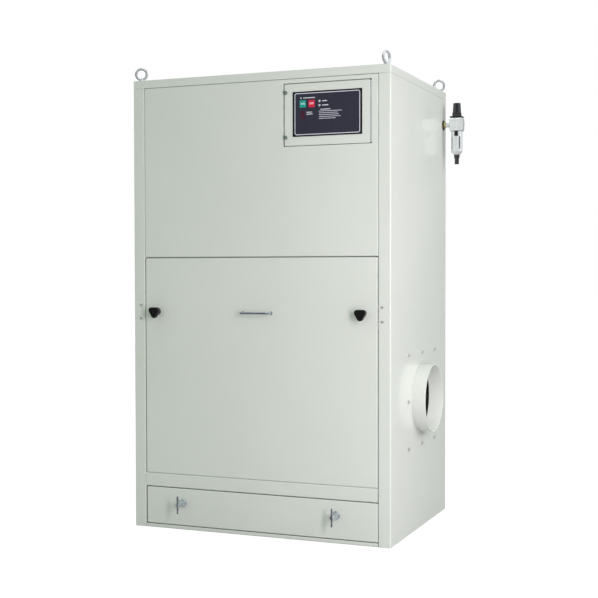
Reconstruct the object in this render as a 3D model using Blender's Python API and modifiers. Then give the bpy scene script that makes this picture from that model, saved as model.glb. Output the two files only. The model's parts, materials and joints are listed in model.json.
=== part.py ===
"""Cabinet dust collector with pulse-cleaned cartridges, built from folded sheet.

Metres, +Z up. The origin is on the floor under the middle of the cabinet, the front faces -Y
and the dust inlet is on the +X side.
"""

import math

import bmesh
import bpy
from mathutils import Matrix, Vector

# Cabinet envelope and sheet
CABINET_WIDTH = 1.000
CABINET_DEPTH = 0.730
CABINET_HEIGHT = 1.660
SHEET = 0.0023
BEND_INSIDE = 0.0017
BEND_STEPS = 3
SEAT = 0.0003
PANEL_GAP = 0.0008
RUN_GAP = 0.005

# Corner posts, cap and sill
POST_WIDTH = 0.045
POST_RETURN = 0.020
REAR_RETURN = 0.025
CAP_HEIGHT = 0.030
CAP_SEAM = 0.001
CAP_RING_HEIGHT = 0.010
SILL_HEIGHT = 0.014

# Front, from the floor up
RAIL_BOTTOM = 0.154
RAIL_HEIGHT = 0.0495
RAIL_FLANGE = 0.028
DOOR_HEIGHT = 0.796
PANEL_RETURN = 0.020
DOOR_RETURN = 0.015

# Frame and seal behind the filter door
FRAME_BAND = 0.038
FRAME_LAP = 0.003
SEAL_WIDTH = 0.012

# Door furniture
HANDLE_PITCH = 0.110
HANDLE_REACH = 0.030
HANDLE_RADIUS = 0.004
HANDLE_BEND = 0.010
FURNITURE_DROP = 0.1958
KNOB_INSET = 0.050
KNOB_RADIUS = 0.0195
KNOB_LOBE = 0.0032
KNOB_THICKNESS = 0.018
KNOB_RIM = 0.0032
KNOB_HUB_RADIUS = 0.011
KNOB_HUB_LENGTH = 0.020
STUD_RADIUS = 0.005
STUD_CLEARANCE = 0.001
STUD_PAST = 0.016
KNOB_BRACKET_HEIGHT = 0.070
KNOB_BRACKET_SHEET = 0.003
KNOB_BRACKET_END = 0.016

# Dust drawer
TRAY_INSET = 0.020
TRAY_REAR_GAP = 0.0474
TRAY_HEIGHT = 0.058
TRAY_SHEET = 0.0015
RUNNER_INSET = 0.020
RUNNER_WIDTH = 0.030
BOLT_INSET = 0.150
BOLT_DROP = 0.055
BOLT_FOOT_RADIUS = 0.015
BOLT_FOOT_THICKNESS = 0.006
BOLT_SHANK_RADIUS = 0.0125
BOLT_TIP_RADIUS = 0.0055
BOLT_REACH = 0.043
BOLT_NOSE = 0.006
BOLT_PAST = 0.008
BOLT_BAR_LENGTH = 0.065
BOLT_BAR_RADIUS = 0.0035
LUG_WIDTH = 0.050
LUG_SHEET = 0.004
LUG_DROP = 0.072

# Control box and its door
CONTROL_WIDTH = 0.318
CONTROL_HEIGHT = 0.212
CONTROL_INSET = 0.0285
CONTROL_DROP = 0.0205
CONTROL_BOX_DEPTH = 0.150
CONTROL_BOX_SHEET = 0.0015
HINGE_RADIUS = 0.0022
HINGE_SINK = 0.0015
HINGE_LEAF = 0.0014
HINGE_LEAF_DEPTH = 0.018
HINGE_LEAF_INSET = 0.001
KEYPAD_LEFT = 0.0315
KEYPAD_RIGHT = 0.0287
KEYPAD_FOOT = 0.0285
KEYPAD_HEAD = 0.0265
KEYPAD_THICKNESS = 0.0012
LATCH_RADIUS = 0.0075
LATCH_TOP_RADIUS = 0.0060
LATCH_HEIGHT = 0.007
LATCH_INSET = 0.004
LATCH_RISE = 0.0275

# Dust inlet
INLET_BACK = 0.382
INLET_RISE = 0.482
INLET_RADIUS = 0.125
INLET_SHEET = 0.003
INLET_REACH = 0.050
INLET_FLANGE = 0.380

# Lifting eyes
EYE_INSET = 0.0225
EYE_RING_RADIUS = 0.020
EYE_SECTION = 0.005
EYE_CENTRE = 0.026
EYE_COLLAR_RADIUS = 0.0125
EYE_COLLAR_TOP = 0.009
EYE_COLLAR_HEIGHT = 0.005
EYE_THREAD_RADIUS = 0.006
EYE_THREAD_LENGTH = 0.018
EYE_TURNS = {
    "front_left": 18.0,
    "front_right": 75.0,
    "rear_left": 10.0,
    "rear_right": 24.0,
}

# Compressed-air filter regulator
AIR_INSET = 0.041
AIR_DROP = 0.103
AIR_REACH = 0.0545
GROMMET_RADIUS = 0.019
GROMMET_BORE = 0.0125
GROMMET_THICKNESS = 0.002
UNION_RADIUS = 0.012
UNION_OUTSIDE = 0.010
UNION_INSIDE = 0.015
NIPPLE_RADIUS = 0.0085
REGULATOR_WIDTH = 0.053
REGULATOR_DEPTH = 0.042
REGULATOR_HEIGHT = 0.0595
REGULATOR_BELOW_PORT = 0.0265
REGULATOR_CHAMFER = 0.007
BONNET_WIDTH = 0.049
BONNET_DEPTH = 0.039
BONNET_HEIGHT = 0.0055
BONNET_CHAMFER = 0.002
COVER_SIZE = 0.023
COVER_RISE = 0.0015
PORT_RADIUS = 0.013
PORT_BORE = 0.008
PORT_DEPTH = 0.012
PORT_ROOT = 0.010
PORT_RISE = 0.0015
DIAL_HEIGHT = 0.051
DIAL_BASE_RADIUS = 0.018
DIAL_BASE_HEIGHT = 0.013
DIAL_TOP_RADIUS = 0.0145
DIAL_EDGE = 0.001
DIAL_RIBS = 24
DIAL_RIB_DEPTH = 0.0009
GUARD_RADIUS = 0.022
GUARD_HEIGHT = 0.0905
GUARD_WALL = 0.002
GUARD_TAPER = 0.011
GUARD_MOUTH = 0.0115
SLOT_LENGTH = 0.047
SLOT_WIDTH = 0.005
SLOT_DROP = 0.021
SLOT_DEPTH = 0.014
LOCK_WIDTH = 0.014
LOCK_HEIGHT = 0.019
LOCK_RISE = 0.0016
LOCK_TURN = 7.0
BOWL_DROP = 0.002
BOWL_WALL = 0.002
DRAIN_RADIUS = 0.011
DRAIN_BARREL = 0.013
DRAIN_LENGTH = 0.0375
DRAIN_TIP_RADIUS = 0.0085
DRAIN_CHAMFER = 0.002

# Filter chamber and clean-air side
TUBE_SHEET_LIP = 0.030
CARTRIDGE_PITCH_X = 0.300
CARTRIDGE_PITCH_Y = 0.300
CARTRIDGE_RADIUS = 0.112
CARTRIDGE_LENGTH = 0.550
PLEAT_DEPTH = 0.014
PLEAT_COUNT = 40
CARTRIDGE_CAP = 0.018
CARTRIDGE_CAP_RIM = 0.002
CARTRIDGE_FLANGE_RADIUS = 0.128
CARTRIDGE_FLANGE = 0.010
LOUVRE_WIDTH = 0.520
LOUVRE_HEIGHT = 0.300
LOUVRE_DROP = 0.299
LOUVRE_BLADES = 7
LOUVRE_MARGIN = 0.030
LOUVRE_LAP = 0.020
LOUVRE_BLADE_DEPTH = 0.016
LOUVRE_BLADE_OUT = 0.0048
LOUVRE_ANGLE = 38.0

ROUND = 32
SMALL_ROUND = 20
ROD_ROUND = 12
CUT_OVERRUN = 0.010

# Places worked out from the sizes above
SIDE = CABINET_WIDTH / 2
BEND_RADIUS = SHEET + BEND_INSIDE
FRONT = -CABINET_DEPTH / 2
REAR = CABINET_DEPTH / 2
INSIDE_X = SIDE - SHEET - SEAT
INSIDE_FRONT = FRONT + SHEET + SEAT
INSIDE_REAR = REAR - SHEET - SEAT
OPENING = SIDE - POST_WIDTH
CAP_BOTTOM = CABINET_HEIGHT - CAP_HEIGHT
WALL_TOP = CAP_BOTTOM - CAP_SEAM
RAIL_TOP = RAIL_BOTTOM + RAIL_HEIGHT
DOOR_BOTTOM = RAIL_TOP + SEAT
DOOR_TOP = DOOR_BOTTOM + DOOR_HEIGHT
PANEL_BOTTOM = DOOR_TOP + RUN_GAP
DOOR_SIDE = OPENING - RUN_GAP
FRAME_FRONT = FRONT + POST_RETURN + SEAT
FRAME_BACK = FRAME_FRONT + SHEET
SHEET_LEVEL = PANEL_BOTTOM + SEAT
DRAWER_BOTTOM = SILL_HEIGHT + RUN_GAP
DRAWER_TOP = RAIL_BOTTOM - RUN_GAP
TRAY_BOTTOM = DRAWER_BOTTOM + SHEET + SEAT
FURNITURE_RISE = DOOR_TOP - FURNITURE_DROP
KNOB_OFFSET = DOOR_SIDE - KNOB_INSET
TRAY_SIDE = DOOR_SIDE - TRAY_INSET
RUNNER_OFFSET = TRAY_SIDE - RUNNER_INSET
BOLT_OFFSET = DOOR_SIDE - BOLT_INSET
BOLT_RISE = RAIL_BOTTOM - BOLT_DROP
CONTROL_RIGHT = OPENING - CONTROL_INSET
CONTROL_LEFT = CONTROL_RIGHT - CONTROL_WIDTH
CONTROL_TOP = WALL_TOP - CONTROL_DROP
CONTROL_BOTTOM = CONTROL_TOP - CONTROL_HEIGHT
AIR_Y = REAR - AIR_INSET
AIR_X = SIDE + AIR_REACH
AIR_RISE = WALL_TOP - AIR_DROP
INLET_Y = FRONT + INLET_BACK
LOUVRE_RISE = WALL_TOP - LOUVRE_DROP

PARTS = "dust_collector"
CUTTERS = "cutters"


def clear_scene():
    """Remove every object that the start-up scene holds."""
    for obj in list(bpy.data.objects):
        bpy.data.objects.remove(obj, do_unlink=True)


def make_material(name, colour, roughness, metallic=0.0, alpha=1.0):
    """A Principled material with the part's own colour and gloss."""
    material = bpy.data.materials.new(name)
    material.use_nodes = True
    shader = material.node_tree.nodes["Principled BSDF"]
    shader.inputs["Base Color"].default_value = (*colour, 1.0)
    shader.inputs["Roughness"].default_value = roughness
    shader.inputs["Metallic"].default_value = metallic
    shader.inputs["Alpha"].default_value = alpha
    return material


def make_materials():
    """Every finish on the collector, by name."""
    return {
        "cabinet_paint": make_material("cabinet_paint", (0.60, 0.62, 0.55), 0.28),
        "zinc": make_material("zinc", (0.62, 0.63, 0.65), 0.35, 1.0),
        "chrome": make_material("chrome", (0.80, 0.81, 0.82), 0.12, 1.0),
        "black_plastic": make_material("black_plastic", (0.015, 0.016, 0.018), 0.42),
        "latch_plastic": make_material("latch_plastic", (0.10, 0.12, 0.11), 0.45),
        "keypad_film": make_material("keypad_film", (0.012, 0.014, 0.03), 0.35),
        "brass": make_material("brass", (0.72, 0.60, 0.24), 0.30, 1.0),
        "cast_alloy": make_material("cast_alloy", (0.70, 0.72, 0.71), 0.40, 0.6),
        "bowl_plastic": make_material("bowl_plastic", (0.10, 0.12, 0.13), 0.15, 0.0, 0.6),
        "seal_rubber": make_material("seal_rubber", (0.02, 0.02, 0.02), 0.75),
        "filter_media": make_material("filter_media", (0.82, 0.82, 0.78), 0.85),
    }


def collection(name):
    """The named collection, made on first use."""
    found = bpy.data.collections.get(name)
    if found is None:
        found = bpy.data.collections.new(name)
        bpy.context.scene.collection.children.link(found)
    return found


def object_from(name, shape, material, origin=(0.0, 0.0, 0.0)):
    """A part's object from a bmesh that is drawn around its own origin."""
    mesh = bpy.data.meshes.new(name)
    shape.to_mesh(mesh)
    shape.free()
    obj = bpy.data.objects.new(name, mesh)
    obj.location = origin
    obj.data.materials.append(material)
    collection(PARTS).objects.link(obj)
    return obj


def smooth(obj, angle=35.0):
    """Smooth shading with the sharp edges kept."""
    obj.data.shade_smooth()
    obj.data.set_sharp_from_angle(angle=math.radians(angle))
    return obj


def centre_and_size(low, high):
    """Centre and side lengths of the box between two corners."""
    low = Vector(low)
    high = Vector(high)
    return (low + high) / 2, high - low


def box_shape(size):
    """A cube scaled to the given side lengths, around the origin."""
    shape = bmesh.new()
    bmesh.ops.create_cube(shape, size=1.0)
    bmesh.ops.scale(shape, vec=size, verts=shape.verts)
    shape.normal_update()
    return shape


def box(name, low, high, material):
    """A plain block between two corners."""
    centre, size = centre_and_size(low, high)
    return object_from(name, box_shape(size), material, centre)


def rod_shape(radius, start, end, axis, sides=ROUND, end_radius=None):
    """A cylinder or cone along one axis, from start to end on that axis."""
    shape = bmesh.new()
    length = end - start
    second = radius if end_radius is None else end_radius
    bmesh.ops.create_cone(
        shape, cap_ends=True, segments=sides, radius1=radius, radius2=second, depth=length
    )
    if axis == "y":
        bmesh.ops.rotate(shape, matrix=Matrix.Rotation(math.radians(-90), 3, "X"), verts=shape.verts)
    if axis == "x":
        bmesh.ops.rotate(shape, matrix=Matrix.Rotation(math.radians(90), 3, "Y"), verts=shape.verts)
    middle = Vector((0.0, 0.0, 0.0))
    middle["xyz".index(axis)] = (start + end) / 2
    bmesh.ops.translate(shape, vec=middle, verts=shape.verts)
    return shape


def add_bevel(obj, width, segments=BEND_STEPS, angle=40.0):
    """Round the edges sharper than the angle."""
    bevel = obj.modifiers.new("rounding", "BEVEL")
    bevel.width = width
    bevel.segments = segments
    bevel.limit_method = "ANGLE"
    bevel.angle_limit = math.radians(angle)
    return bevel


def add_solidify(obj, thickness, offset=-1.0):
    """Give an open surface its sheet thickness, behind its faces or in front of them."""
    wall = obj.modifiers.new("sheet", "SOLIDIFY")
    wall.thickness = thickness
    wall.offset = offset
    wall.use_even_offset = True
    return wall


def boolean(obj, other, operation):
    """Cut from, or join to, an object with a hidden helper."""
    step = obj.modifiers.new(operation.lower() + "_" + other.name, "BOOLEAN")
    step.operation = operation
    step.object = other
    step.solver = "EXACT"
    other.hide_render = True
    other.display_type = "WIRE"
    for owner in list(other.users_collection):
        owner.objects.unlink(other)
    collection(CUTTERS).objects.link(other)
    return obj


def cut(obj, *helpers):
    """Cut each helper out of the object."""
    for helper in helpers:
        boolean(obj, helper, "DIFFERENCE")
    return obj


def join(obj, *helpers):
    """Weld each helper to the object."""
    for helper in helpers:
        boolean(obj, helper, "UNION")
    return obj


def rounded_path(points, radius, steps=BEND_STEPS):
    """An open outline whose inner corners are turned into arcs."""
    points = [Vector(point) for point in points]
    path = [points[0]]
    for before, corner, after in zip(points, points[1:], points[2:]):
        into = (corner - before).normalized()
        out = (after - corner).normalized()
        turn = into.angle(out)
        reach = radius * math.tan(turn / 2)
        start = corner - into * reach
        side = (out - into * into.dot(out)).normalized()
        middle = start + side * radius
        for step in range(steps + 1):
            swing = turn * step / steps
            path.append(middle - side * radius * math.cos(swing) + into * radius * math.sin(swing))
    path.append(points[-1])
    return path


def folded_sheet(name, outline, axis, start, end, thickness, material, side="left"):
    """A sheet folded along an outline of (first, second) coordinates and run along one axis.

    The outline's two coordinates are those other than the run, in X, Y, Z order, and the sheet
    lies on the given side of the outline as one walks along it.
    """
    shape = bmesh.new()
    along = "xyz".index(axis)
    others = [index for index in range(3) if index != along]

    def place(point, run):
        spot = [0.0, 0.0, 0.0]
        spot[others[0]] = point[0]
        spot[others[1]] = point[1]
        spot[along] = run
        return spot

    first = [shape.verts.new(place(point, start)) for point in outline]
    edges = [shape.edges.new(pair) for pair in zip(first, first[1:])]
    swept = bmesh.ops.extrude_edge_only(shape, edges=edges)
    moved = [item for item in swept["geom"] if isinstance(item, bmesh.types.BMVert)]
    shift = Vector((0.0, 0.0, 0.0))
    shift[along] = end - start
    bmesh.ops.translate(shape, vec=shift, verts=moved)
    obj = object_from(name, shape, material)
    add_solidify(obj, thickness, 1.0 if side == "left" else -1.0)
    return obj


def pan(name, low, high, open_side, material, thickness=SHEET):
    """A folded pan: a box with one side open, its bends rounded and its walls one sheet thick.

    The open side is a sign and an axis, such as +y.
    """
    centre, size = centre_and_size(low, high)
    shape = box_shape(size)
    index = "xyz".index(open_side[1])
    outward = -1 if open_side[0] == "-" else 1
    mouth = [face for face in shape.faces if face.normal[index] * outward > math.cos(math.radians(1))]
    bmesh.ops.delete(shape, geom=mouth, context="FACES")
    obj = object_from(name, shape, material, centre)
    add_bevel(obj, thickness + BEND_INSIDE)
    add_solidify(obj, thickness)
    return smooth(obj)


def ring_frame(name, outer_low, outer_high, band, y_front, y_back, material):
    """A flat rectangular frame standing in the XZ plane."""
    obj = box(
        name, (outer_low[0], y_front, outer_low[1]), (outer_high[0], y_back, outer_high[1]), material
    )
    hole = box(
        name + "_hole",
        (outer_low[0] + band, y_front - CUT_OVERRUN, outer_low[1] + band),
        (outer_high[0] - band, y_back + CUT_OVERRUN, outer_high[1] - band),
        material,
    )
    return cut(obj, hole)


def helper_box(name, low, high):
    """A block that only cuts or joins."""
    return box(name, low, high, bpy.data.materials[0])


def helper_rod(name, radius, start, end, axis, across, sides=ROUND, end_radius=None):
    """A cylinder that only cuts or joins. Across gives its other two coordinates."""
    origin = list(across)
    origin.insert("xyz".index(axis), 0.0)
    shape = rod_shape(radius, start, end, axis, sides, end_radius)
    return object_from(name, shape, bpy.data.materials[0], origin)


def side_outline():
    """The right wall seen from above: front post return, post face, wall and rear return."""
    return rounded_path(
        [
            (OPENING, FRONT + POST_RETURN),
            (OPENING, FRONT),
            (SIDE, FRONT),
            (SIDE, REAR),
            (SIDE - REAR_RETURN, REAR),
        ],
        BEND_RADIUS,
    )


def build_side_panels(paint):
    """The two folded walls, whose front edges are the corner posts."""
    right = folded_sheet("right_side_panel", side_outline(), "z", 0.0, WALL_TOP, SHEET, paint)
    mirrored = [(-point[0], point[1]) for point in reversed(side_outline())]
    left = folded_sheet("left_side_panel", mirrored, "z", 0.0, WALL_TOP, SHEET, paint)
    cut(
        right,
        helper_rod("inlet_hole", INLET_RADIUS + SEAT, SIDE - CUT_OVERRUN, SIDE + CUT_OVERRUN, "x",
                   (INLET_Y, INLET_RISE), 2 * ROUND),
        helper_rod("air_hole", GROMMET_RADIUS - GROMMET_THICKNESS, SIDE - CUT_OVERRUN,
                   SIDE + CUT_OVERRUN, "x", (AIR_Y, AIR_RISE)),
    )
    return smooth(left), smooth(right)


def build_base(paint):
    """The floor pan, with a low sill in front of the drawer and room for the posts."""
    base = pan("base_pan", (-INSIDE_X, FRONT, 0.0), (INSIDE_X, INSIDE_REAR, SILL_HEIGHT), "+z",
               paint)
    notch_back = FRONT + POST_RETURN + SEAT
    for side in (-1, 1):
        edges = sorted((side * (OPENING - PANEL_GAP), side * (SIDE + CUT_OVERRUN)))
        cut(base, helper_box("post_notch", (edges[0], FRONT - CUT_OVERRUN, -CUT_OVERRUN),
                             (edges[1], notch_back, SILL_HEIGHT + CUT_OVERRUN)))
    return base


def build_cap(paint):
    """The roof: a pan with its flange folded down, and a ring that fits inside the walls."""
    cap = pan("top_cap", (-SIDE, FRONT, CAP_BOTTOM), (SIDE, REAR, CABINET_HEIGHT), "-z", paint)
    ring_top = CABINET_HEIGHT - SHEET / 2
    ring_bottom = CAP_BOTTOM - CAP_RING_HEIGHT
    ring_inset = EYE_INSET + EYE_COLLAR_RADIUS
    ring_x = INSIDE_X - SHEET
    ring_rear = REAR - ring_inset
    ring = helper_box("cap_ring", (-INSIDE_X, FRONT + ring_inset, ring_bottom),
                      (INSIDE_X, ring_rear, ring_top))
    inner = helper_box("cap_ring_inside",
                       (-ring_x, FRONT + ring_inset + SHEET, ring_bottom - CUT_OVERRUN),
                       (ring_x, ring_rear - SHEET, ring_top + CUT_OVERRUN))
    cut(ring, inner)
    join(cap, ring)
    for x_sign in (-1, 1):
        for y_sign in (-1, 1):
            spot = (x_sign * (SIDE - EYE_INSET), y_sign * (REAR - EYE_INSET))
            cut(cap, helper_rod("eye_hole", EYE_THREAD_RADIUS + SEAT, CABINET_HEIGHT - CUT_OVERRUN,
                                CABINET_HEIGHT + CUT_OVERRUN, "z", spot, SMALL_ROUND))
    return cap


def build_upper_panel(paint):
    """The fixed front panel over the filter door, cut out for the control door."""
    edge = OPENING - PANEL_GAP
    panel = pan("upper_front_panel", (-edge, FRONT, PANEL_BOTTOM),
                (edge, FRONT + PANEL_RETURN, WALL_TOP), "+y", paint)
    window = helper_box(
        "control_window",
        (CONTROL_LEFT - RUN_GAP, FRONT - CUT_OVERRUN, CONTROL_BOTTOM - RUN_GAP),
        (CONTROL_RIGHT + RUN_GAP, FRONT + PANEL_RETURN / 2, CONTROL_TOP + RUN_GAP),
    )
    return cut(panel, window)


def build_rail(paint):
    """The cross rail under the filter door, with a hanging lug behind each drawer bolt."""
    edge = OPENING - PANEL_GAP
    outline = rounded_path(
        [
            (FRONT + RAIL_FLANGE, RAIL_BOTTOM),
            (FRONT, RAIL_BOTTOM),
            (FRONT, RAIL_TOP),
            (FRONT + PANEL_RETURN, RAIL_TOP),
        ],
        BEND_RADIUS,
    )
    rail = folded_sheet("cross_rail", outline, "x", -edge, edge, SHEET, paint, "right")
    lug_back = FRONT + RAIL_FLANGE
    for side in (-1, 1):
        middle = side * BOLT_OFFSET
        lug = helper_box(
            "catch_lug",
            (middle - LUG_WIDTH / 2, lug_back - LUG_SHEET, RAIL_BOTTOM - LUG_DROP),
            (middle + LUG_WIDTH / 2, lug_back - SHEET / 4, RAIL_BOTTOM + SHEET / 2),
        )
        join(rail, lug)
        cut(rail, helper_rod("lug_hole", STUD_RADIUS + STUD_CLEARANCE, lug_back - CUT_OVERRUN,
                             lug_back + CUT_OVERRUN, "y", (middle, BOLT_RISE), SMALL_ROUND))
    return smooth(rail)


def build_door_frame(paint, rubber):
    """The frame round the filter chamber's mouth, and the rubber that the door closes on."""
    outer_x = OPENING + FRAME_LAP
    bottom = DOOR_BOTTOM - FRAME_BAND / 2
    top = PANEL_BOTTOM + SEAT
    frame = ring_frame("door_frame", (-outer_x, bottom), (outer_x, top), FRAME_BAND,
                       FRAME_FRONT, FRAME_BACK, paint)
    seal = ring_frame("door_seal", (-DOOR_SIDE, DOOR_BOTTOM), (DOOR_SIDE, DOOR_TOP), SEAL_WIDTH,
                      FRONT + DOOR_RETURN + SEAT, FRAME_FRONT - SEAT, rubber)
    return frame, seal


def build_filter_door(paint, chrome):
    """The lift-off door pan and its pull handle."""
    door = pan("filter_door", (-DOOR_SIDE, FRONT, DOOR_BOTTOM),
               (DOOR_SIDE, FRONT + DOOR_RETURN, DOOR_TOP), "+y", paint)
    for side in (-1, 1):
        cut(door, helper_rod("stud_hole", STUD_RADIUS + STUD_CLEARANCE, FRONT - CUT_OVERRUN,
                             FRONT + CUT_OVERRUN, "y", (side * KNOB_OFFSET, FURNITURE_RISE),
                             SMALL_ROUND))
    face = FRONT - SEAT
    half = HANDLE_PITCH / 2
    route = rounded_path(
        [(-half, face), (-half, face - HANDLE_REACH), (half, face - HANDLE_REACH), (half, face)],
        HANDLE_BEND,
    )
    curve = bpy.data.curves.new("door_handle", "CURVE")
    curve.dimensions = "3D"
    curve.bevel_depth = HANDLE_RADIUS
    curve.bevel_resolution = 3
    curve.use_fill_caps = True
    spline = curve.splines.new("POLY")
    spline.points.add(len(route) - 1)
    for point, (x, y) in zip(spline.points, route):
        point.co = (x, y, FURNITURE_RISE, 1.0)
    handle = bpy.data.objects.new("door_handle", curve)
    curve.materials.append(chrome)
    collection(PARTS).objects.link(handle)
    return door, handle


def lobed_shape(radius, lobe, thickness, sides=36):
    """A three-lobed disc in the XZ plane with one lobe pointing down, rounded at both rims."""
    shape = bmesh.new()
    ring = []
    for step in range(sides):
        turn = 2 * math.pi * step / sides
        reach = radius + lobe * math.cos(3 * (turn + math.pi / 2))
        ring.append(shape.verts.new((reach * math.cos(turn), 0.0, reach * math.sin(turn))))
    face = shape.faces.new(ring)
    swept = bmesh.ops.extrude_face_region(shape, geom=[face])
    moved = [item for item in swept["geom"] if isinstance(item, bmesh.types.BMVert)]
    bmesh.ops.translate(shape, vec=(0.0, -thickness, 0.0), verts=moved)
    bmesh.ops.recalc_face_normals(shape, faces=shape.faces)
    rims = [edge for edge in shape.edges if any(len(face.verts) > 4 for face in edge.link_faces)]
    bmesh.ops.bevel(shape, geom=rims, offset=KNOB_RIM, segments=2, profile=0.5,
                    affect="EDGES", clamp_overlap=True)
    return shape


def build_knobs(black, paint):
    """The two clamp knobs that hold the filter door, and the brackets that their studs enter."""
    made = []
    for side, word in ((-1, "left"), (1, "right")):
        middle = side * KNOB_OFFSET
        back = -SEAT
        hub_front = back - KNOB_HUB_LENGTH
        knob = object_from(word + "_clamp_knob", lobed_shape(KNOB_RADIUS, KNOB_LOBE, KNOB_THICKNESS),
                           black, (middle, FRONT + hub_front, FURNITURE_RISE))
        spot = (middle, FURNITURE_RISE)
        hub = helper_rod(word + "_hub", KNOB_HUB_RADIUS, FRONT + hub_front - KNOB_THICKNESS / 2,
                         FRONT + back, "y", spot, SMALL_ROUND)
        stud = helper_rod(word + "_stud", STUD_RADIUS, FRONT + hub_front,
                          FRAME_BACK + STUD_PAST, "y", spot, ROD_ROUND)
        join(knob, hub, stud)
        made.append(smooth(knob))
        web = OPENING + FRAME_LAP + KNOB_BRACKET_SHEET + BEND_INSIDE
        plate = FRAME_BACK + SEAT
        outline = rounded_path(
            [
                (side * (SIDE - SHEET - 2 * BEND_RADIUS), INSIDE_FRONT),
                (side * web, INSIDE_FRONT),
                (side * web, plate),
                (side * (KNOB_OFFSET - KNOB_BRACKET_END), plate),
            ],
            KNOB_BRACKET_SHEET + BEND_INSIDE,
        )
        low = FURNITURE_RISE - KNOB_BRACKET_HEIGHT / 2
        bracket = folded_sheet(word + "_knob_bracket", outline, "z", low, low + KNOB_BRACKET_HEIGHT,
                               KNOB_BRACKET_SHEET, paint, "left" if side < 0 else "right")
        cut(bracket, helper_rod("bracket_hole", STUD_RADIUS + STUD_CLEARANCE, plate - CUT_OVERRUN,
                                plate + CUT_OVERRUN, "y", spot, SMALL_ROUND))
        made.append(smooth(bracket))
    return made


def build_drawer(paint, zinc, chrome):
    """The dust drawer: its front, its tray, the runners under it and its two clamp bolts."""
    front = pan("drawer_front", (-DOOR_SIDE, FRONT, DRAWER_BOTTOM),
                (DOOR_SIDE, FRONT + DOOR_RETURN, DRAWER_TOP), "+y", paint)
    tray = pan("dust_tray", (-TRAY_SIDE, INSIDE_FRONT, TRAY_BOTTOM),
               (TRAY_SIDE, REAR - TRAY_REAR_GAP, TRAY_BOTTOM + TRAY_HEIGHT), "+z", zinc,
               TRAY_SHEET)
    made = [front, tray]
    for side, word in ((-1, "left"), (1, "right")):
        middle = side * RUNNER_OFFSET
        made.append(pan(word + "_runner",
                        (middle - RUNNER_WIDTH / 2, FRONT + PANEL_RETURN + RUN_GAP, SHEET + SEAT),
                        (middle + RUNNER_WIDTH / 2, REAR - POST_RETURN - RUN_GAP, TRAY_BOTTOM - SEAT),
                        "-z", zinc))
        spot = (side * BOLT_OFFSET, BOLT_RISE)
        cut(front, helper_rod("bolt_hole", STUD_RADIUS + STUD_CLEARANCE, FRONT - CUT_OVERRUN,
                              FRONT + CUT_OVERRUN, "y", spot, SMALL_ROUND))
        face = FRONT - SEAT
        bolt_shape = rod_shape(BOLT_FOOT_RADIUS, -BOLT_FOOT_THICKNESS, 0.0, "y", SMALL_ROUND)
        bolt = object_from(word + "_wing_bolt", bolt_shape, chrome, (spot[0], face, spot[1]))
        join(
            bolt,
            helper_rod(word + "_bolt_shank", BOLT_TIP_RADIUS, face - BOLT_REACH - BOLT_NOSE,
                       face - BOLT_FOOT_THICKNESS / 2, "y", spot, SMALL_ROUND,
                       BOLT_SHANK_RADIUS),
            helper_rod(word + "_bolt_thread", STUD_RADIUS, face - BOLT_FOOT_THICKNESS / 2,
                       FRONT + RAIL_FLANGE + BOLT_PAST, "y", spot, ROD_ROUND),
            helper_rod(word + "_bolt_bar", BOLT_BAR_RADIUS, BOLT_RISE - BOLT_BAR_LENGTH / 2,
                       BOLT_RISE + BOLT_BAR_LENGTH / 2, "z", (spot[0], face - BOLT_REACH),
                       ROD_ROUND),
        )
        made.append(smooth(bolt))
    return made


def build_controls(paint, zinc, film, latch):
    """The control box behind the upper panel, its hinged door, key panel and quarter-turn latches."""
    wall = CONTROL_BOX_SHEET
    past = RUN_GAP + wall
    control_box = pan("control_box", (CONTROL_LEFT - past, INSIDE_FRONT, CONTROL_BOTTOM - past),
                      (CONTROL_RIGHT + past, INSIDE_FRONT + CONTROL_BOX_DEPTH, CONTROL_TOP + past),
                      "-y", paint, wall)
    door = pan("control_door", (CONTROL_LEFT, FRONT, CONTROL_BOTTOM),
               (CONTROL_RIGHT, FRONT + DOOR_RETURN, CONTROL_TOP), "+y", paint)
    axis_x = CONTROL_RIGHT + RUN_GAP / 2
    barrel = rod_shape(HINGE_RADIUS, CONTROL_BOTTOM, CONTROL_TOP, "z", ROD_ROUND)
    hinge = object_from("control_hinge", barrel, zinc, (axis_x, FRONT + HINGE_SINK, 0.0))
    leaf_right = CONTROL_RIGHT + RUN_GAP - SEAT
    join(hinge, helper_box("hinge_leaf", (leaf_right - HINGE_LEAF, FRONT + HINGE_SINK,
                                          CONTROL_BOTTOM + HINGE_LEAF_INSET),
                           (leaf_right, FRONT + HINGE_LEAF_DEPTH, CONTROL_TOP - HINGE_LEAF_INSET)))
    keypad = box("keypad", (CONTROL_LEFT + KEYPAD_LEFT, FRONT - SEAT - KEYPAD_THICKNESS,
                            CONTROL_BOTTOM + KEYPAD_FOOT),
                 (CONTROL_RIGHT - KEYPAD_RIGHT, FRONT - SEAT, CONTROL_TOP - KEYPAD_HEAD), film)
    made = [control_box, door, smooth(hinge), keypad]
    for word, rise in (("upper", CONTROL_TOP - LATCH_RISE), ("lower", CONTROL_BOTTOM + LATCH_RISE)):
        shape = rod_shape(LATCH_RADIUS, 0.0, LATCH_HEIGHT, "z", SMALL_ROUND, LATCH_TOP_RADIUS)
        bmesh.ops.rotate(shape, matrix=Matrix.Rotation(math.radians(90), 3, "X"), verts=shape.verts)
        made.append(smooth(object_from(word + "_control_latch", shape, latch,
                                       (CONTROL_LEFT + LATCH_INSET, FRONT - SEAT, rise))))
    return made


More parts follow.
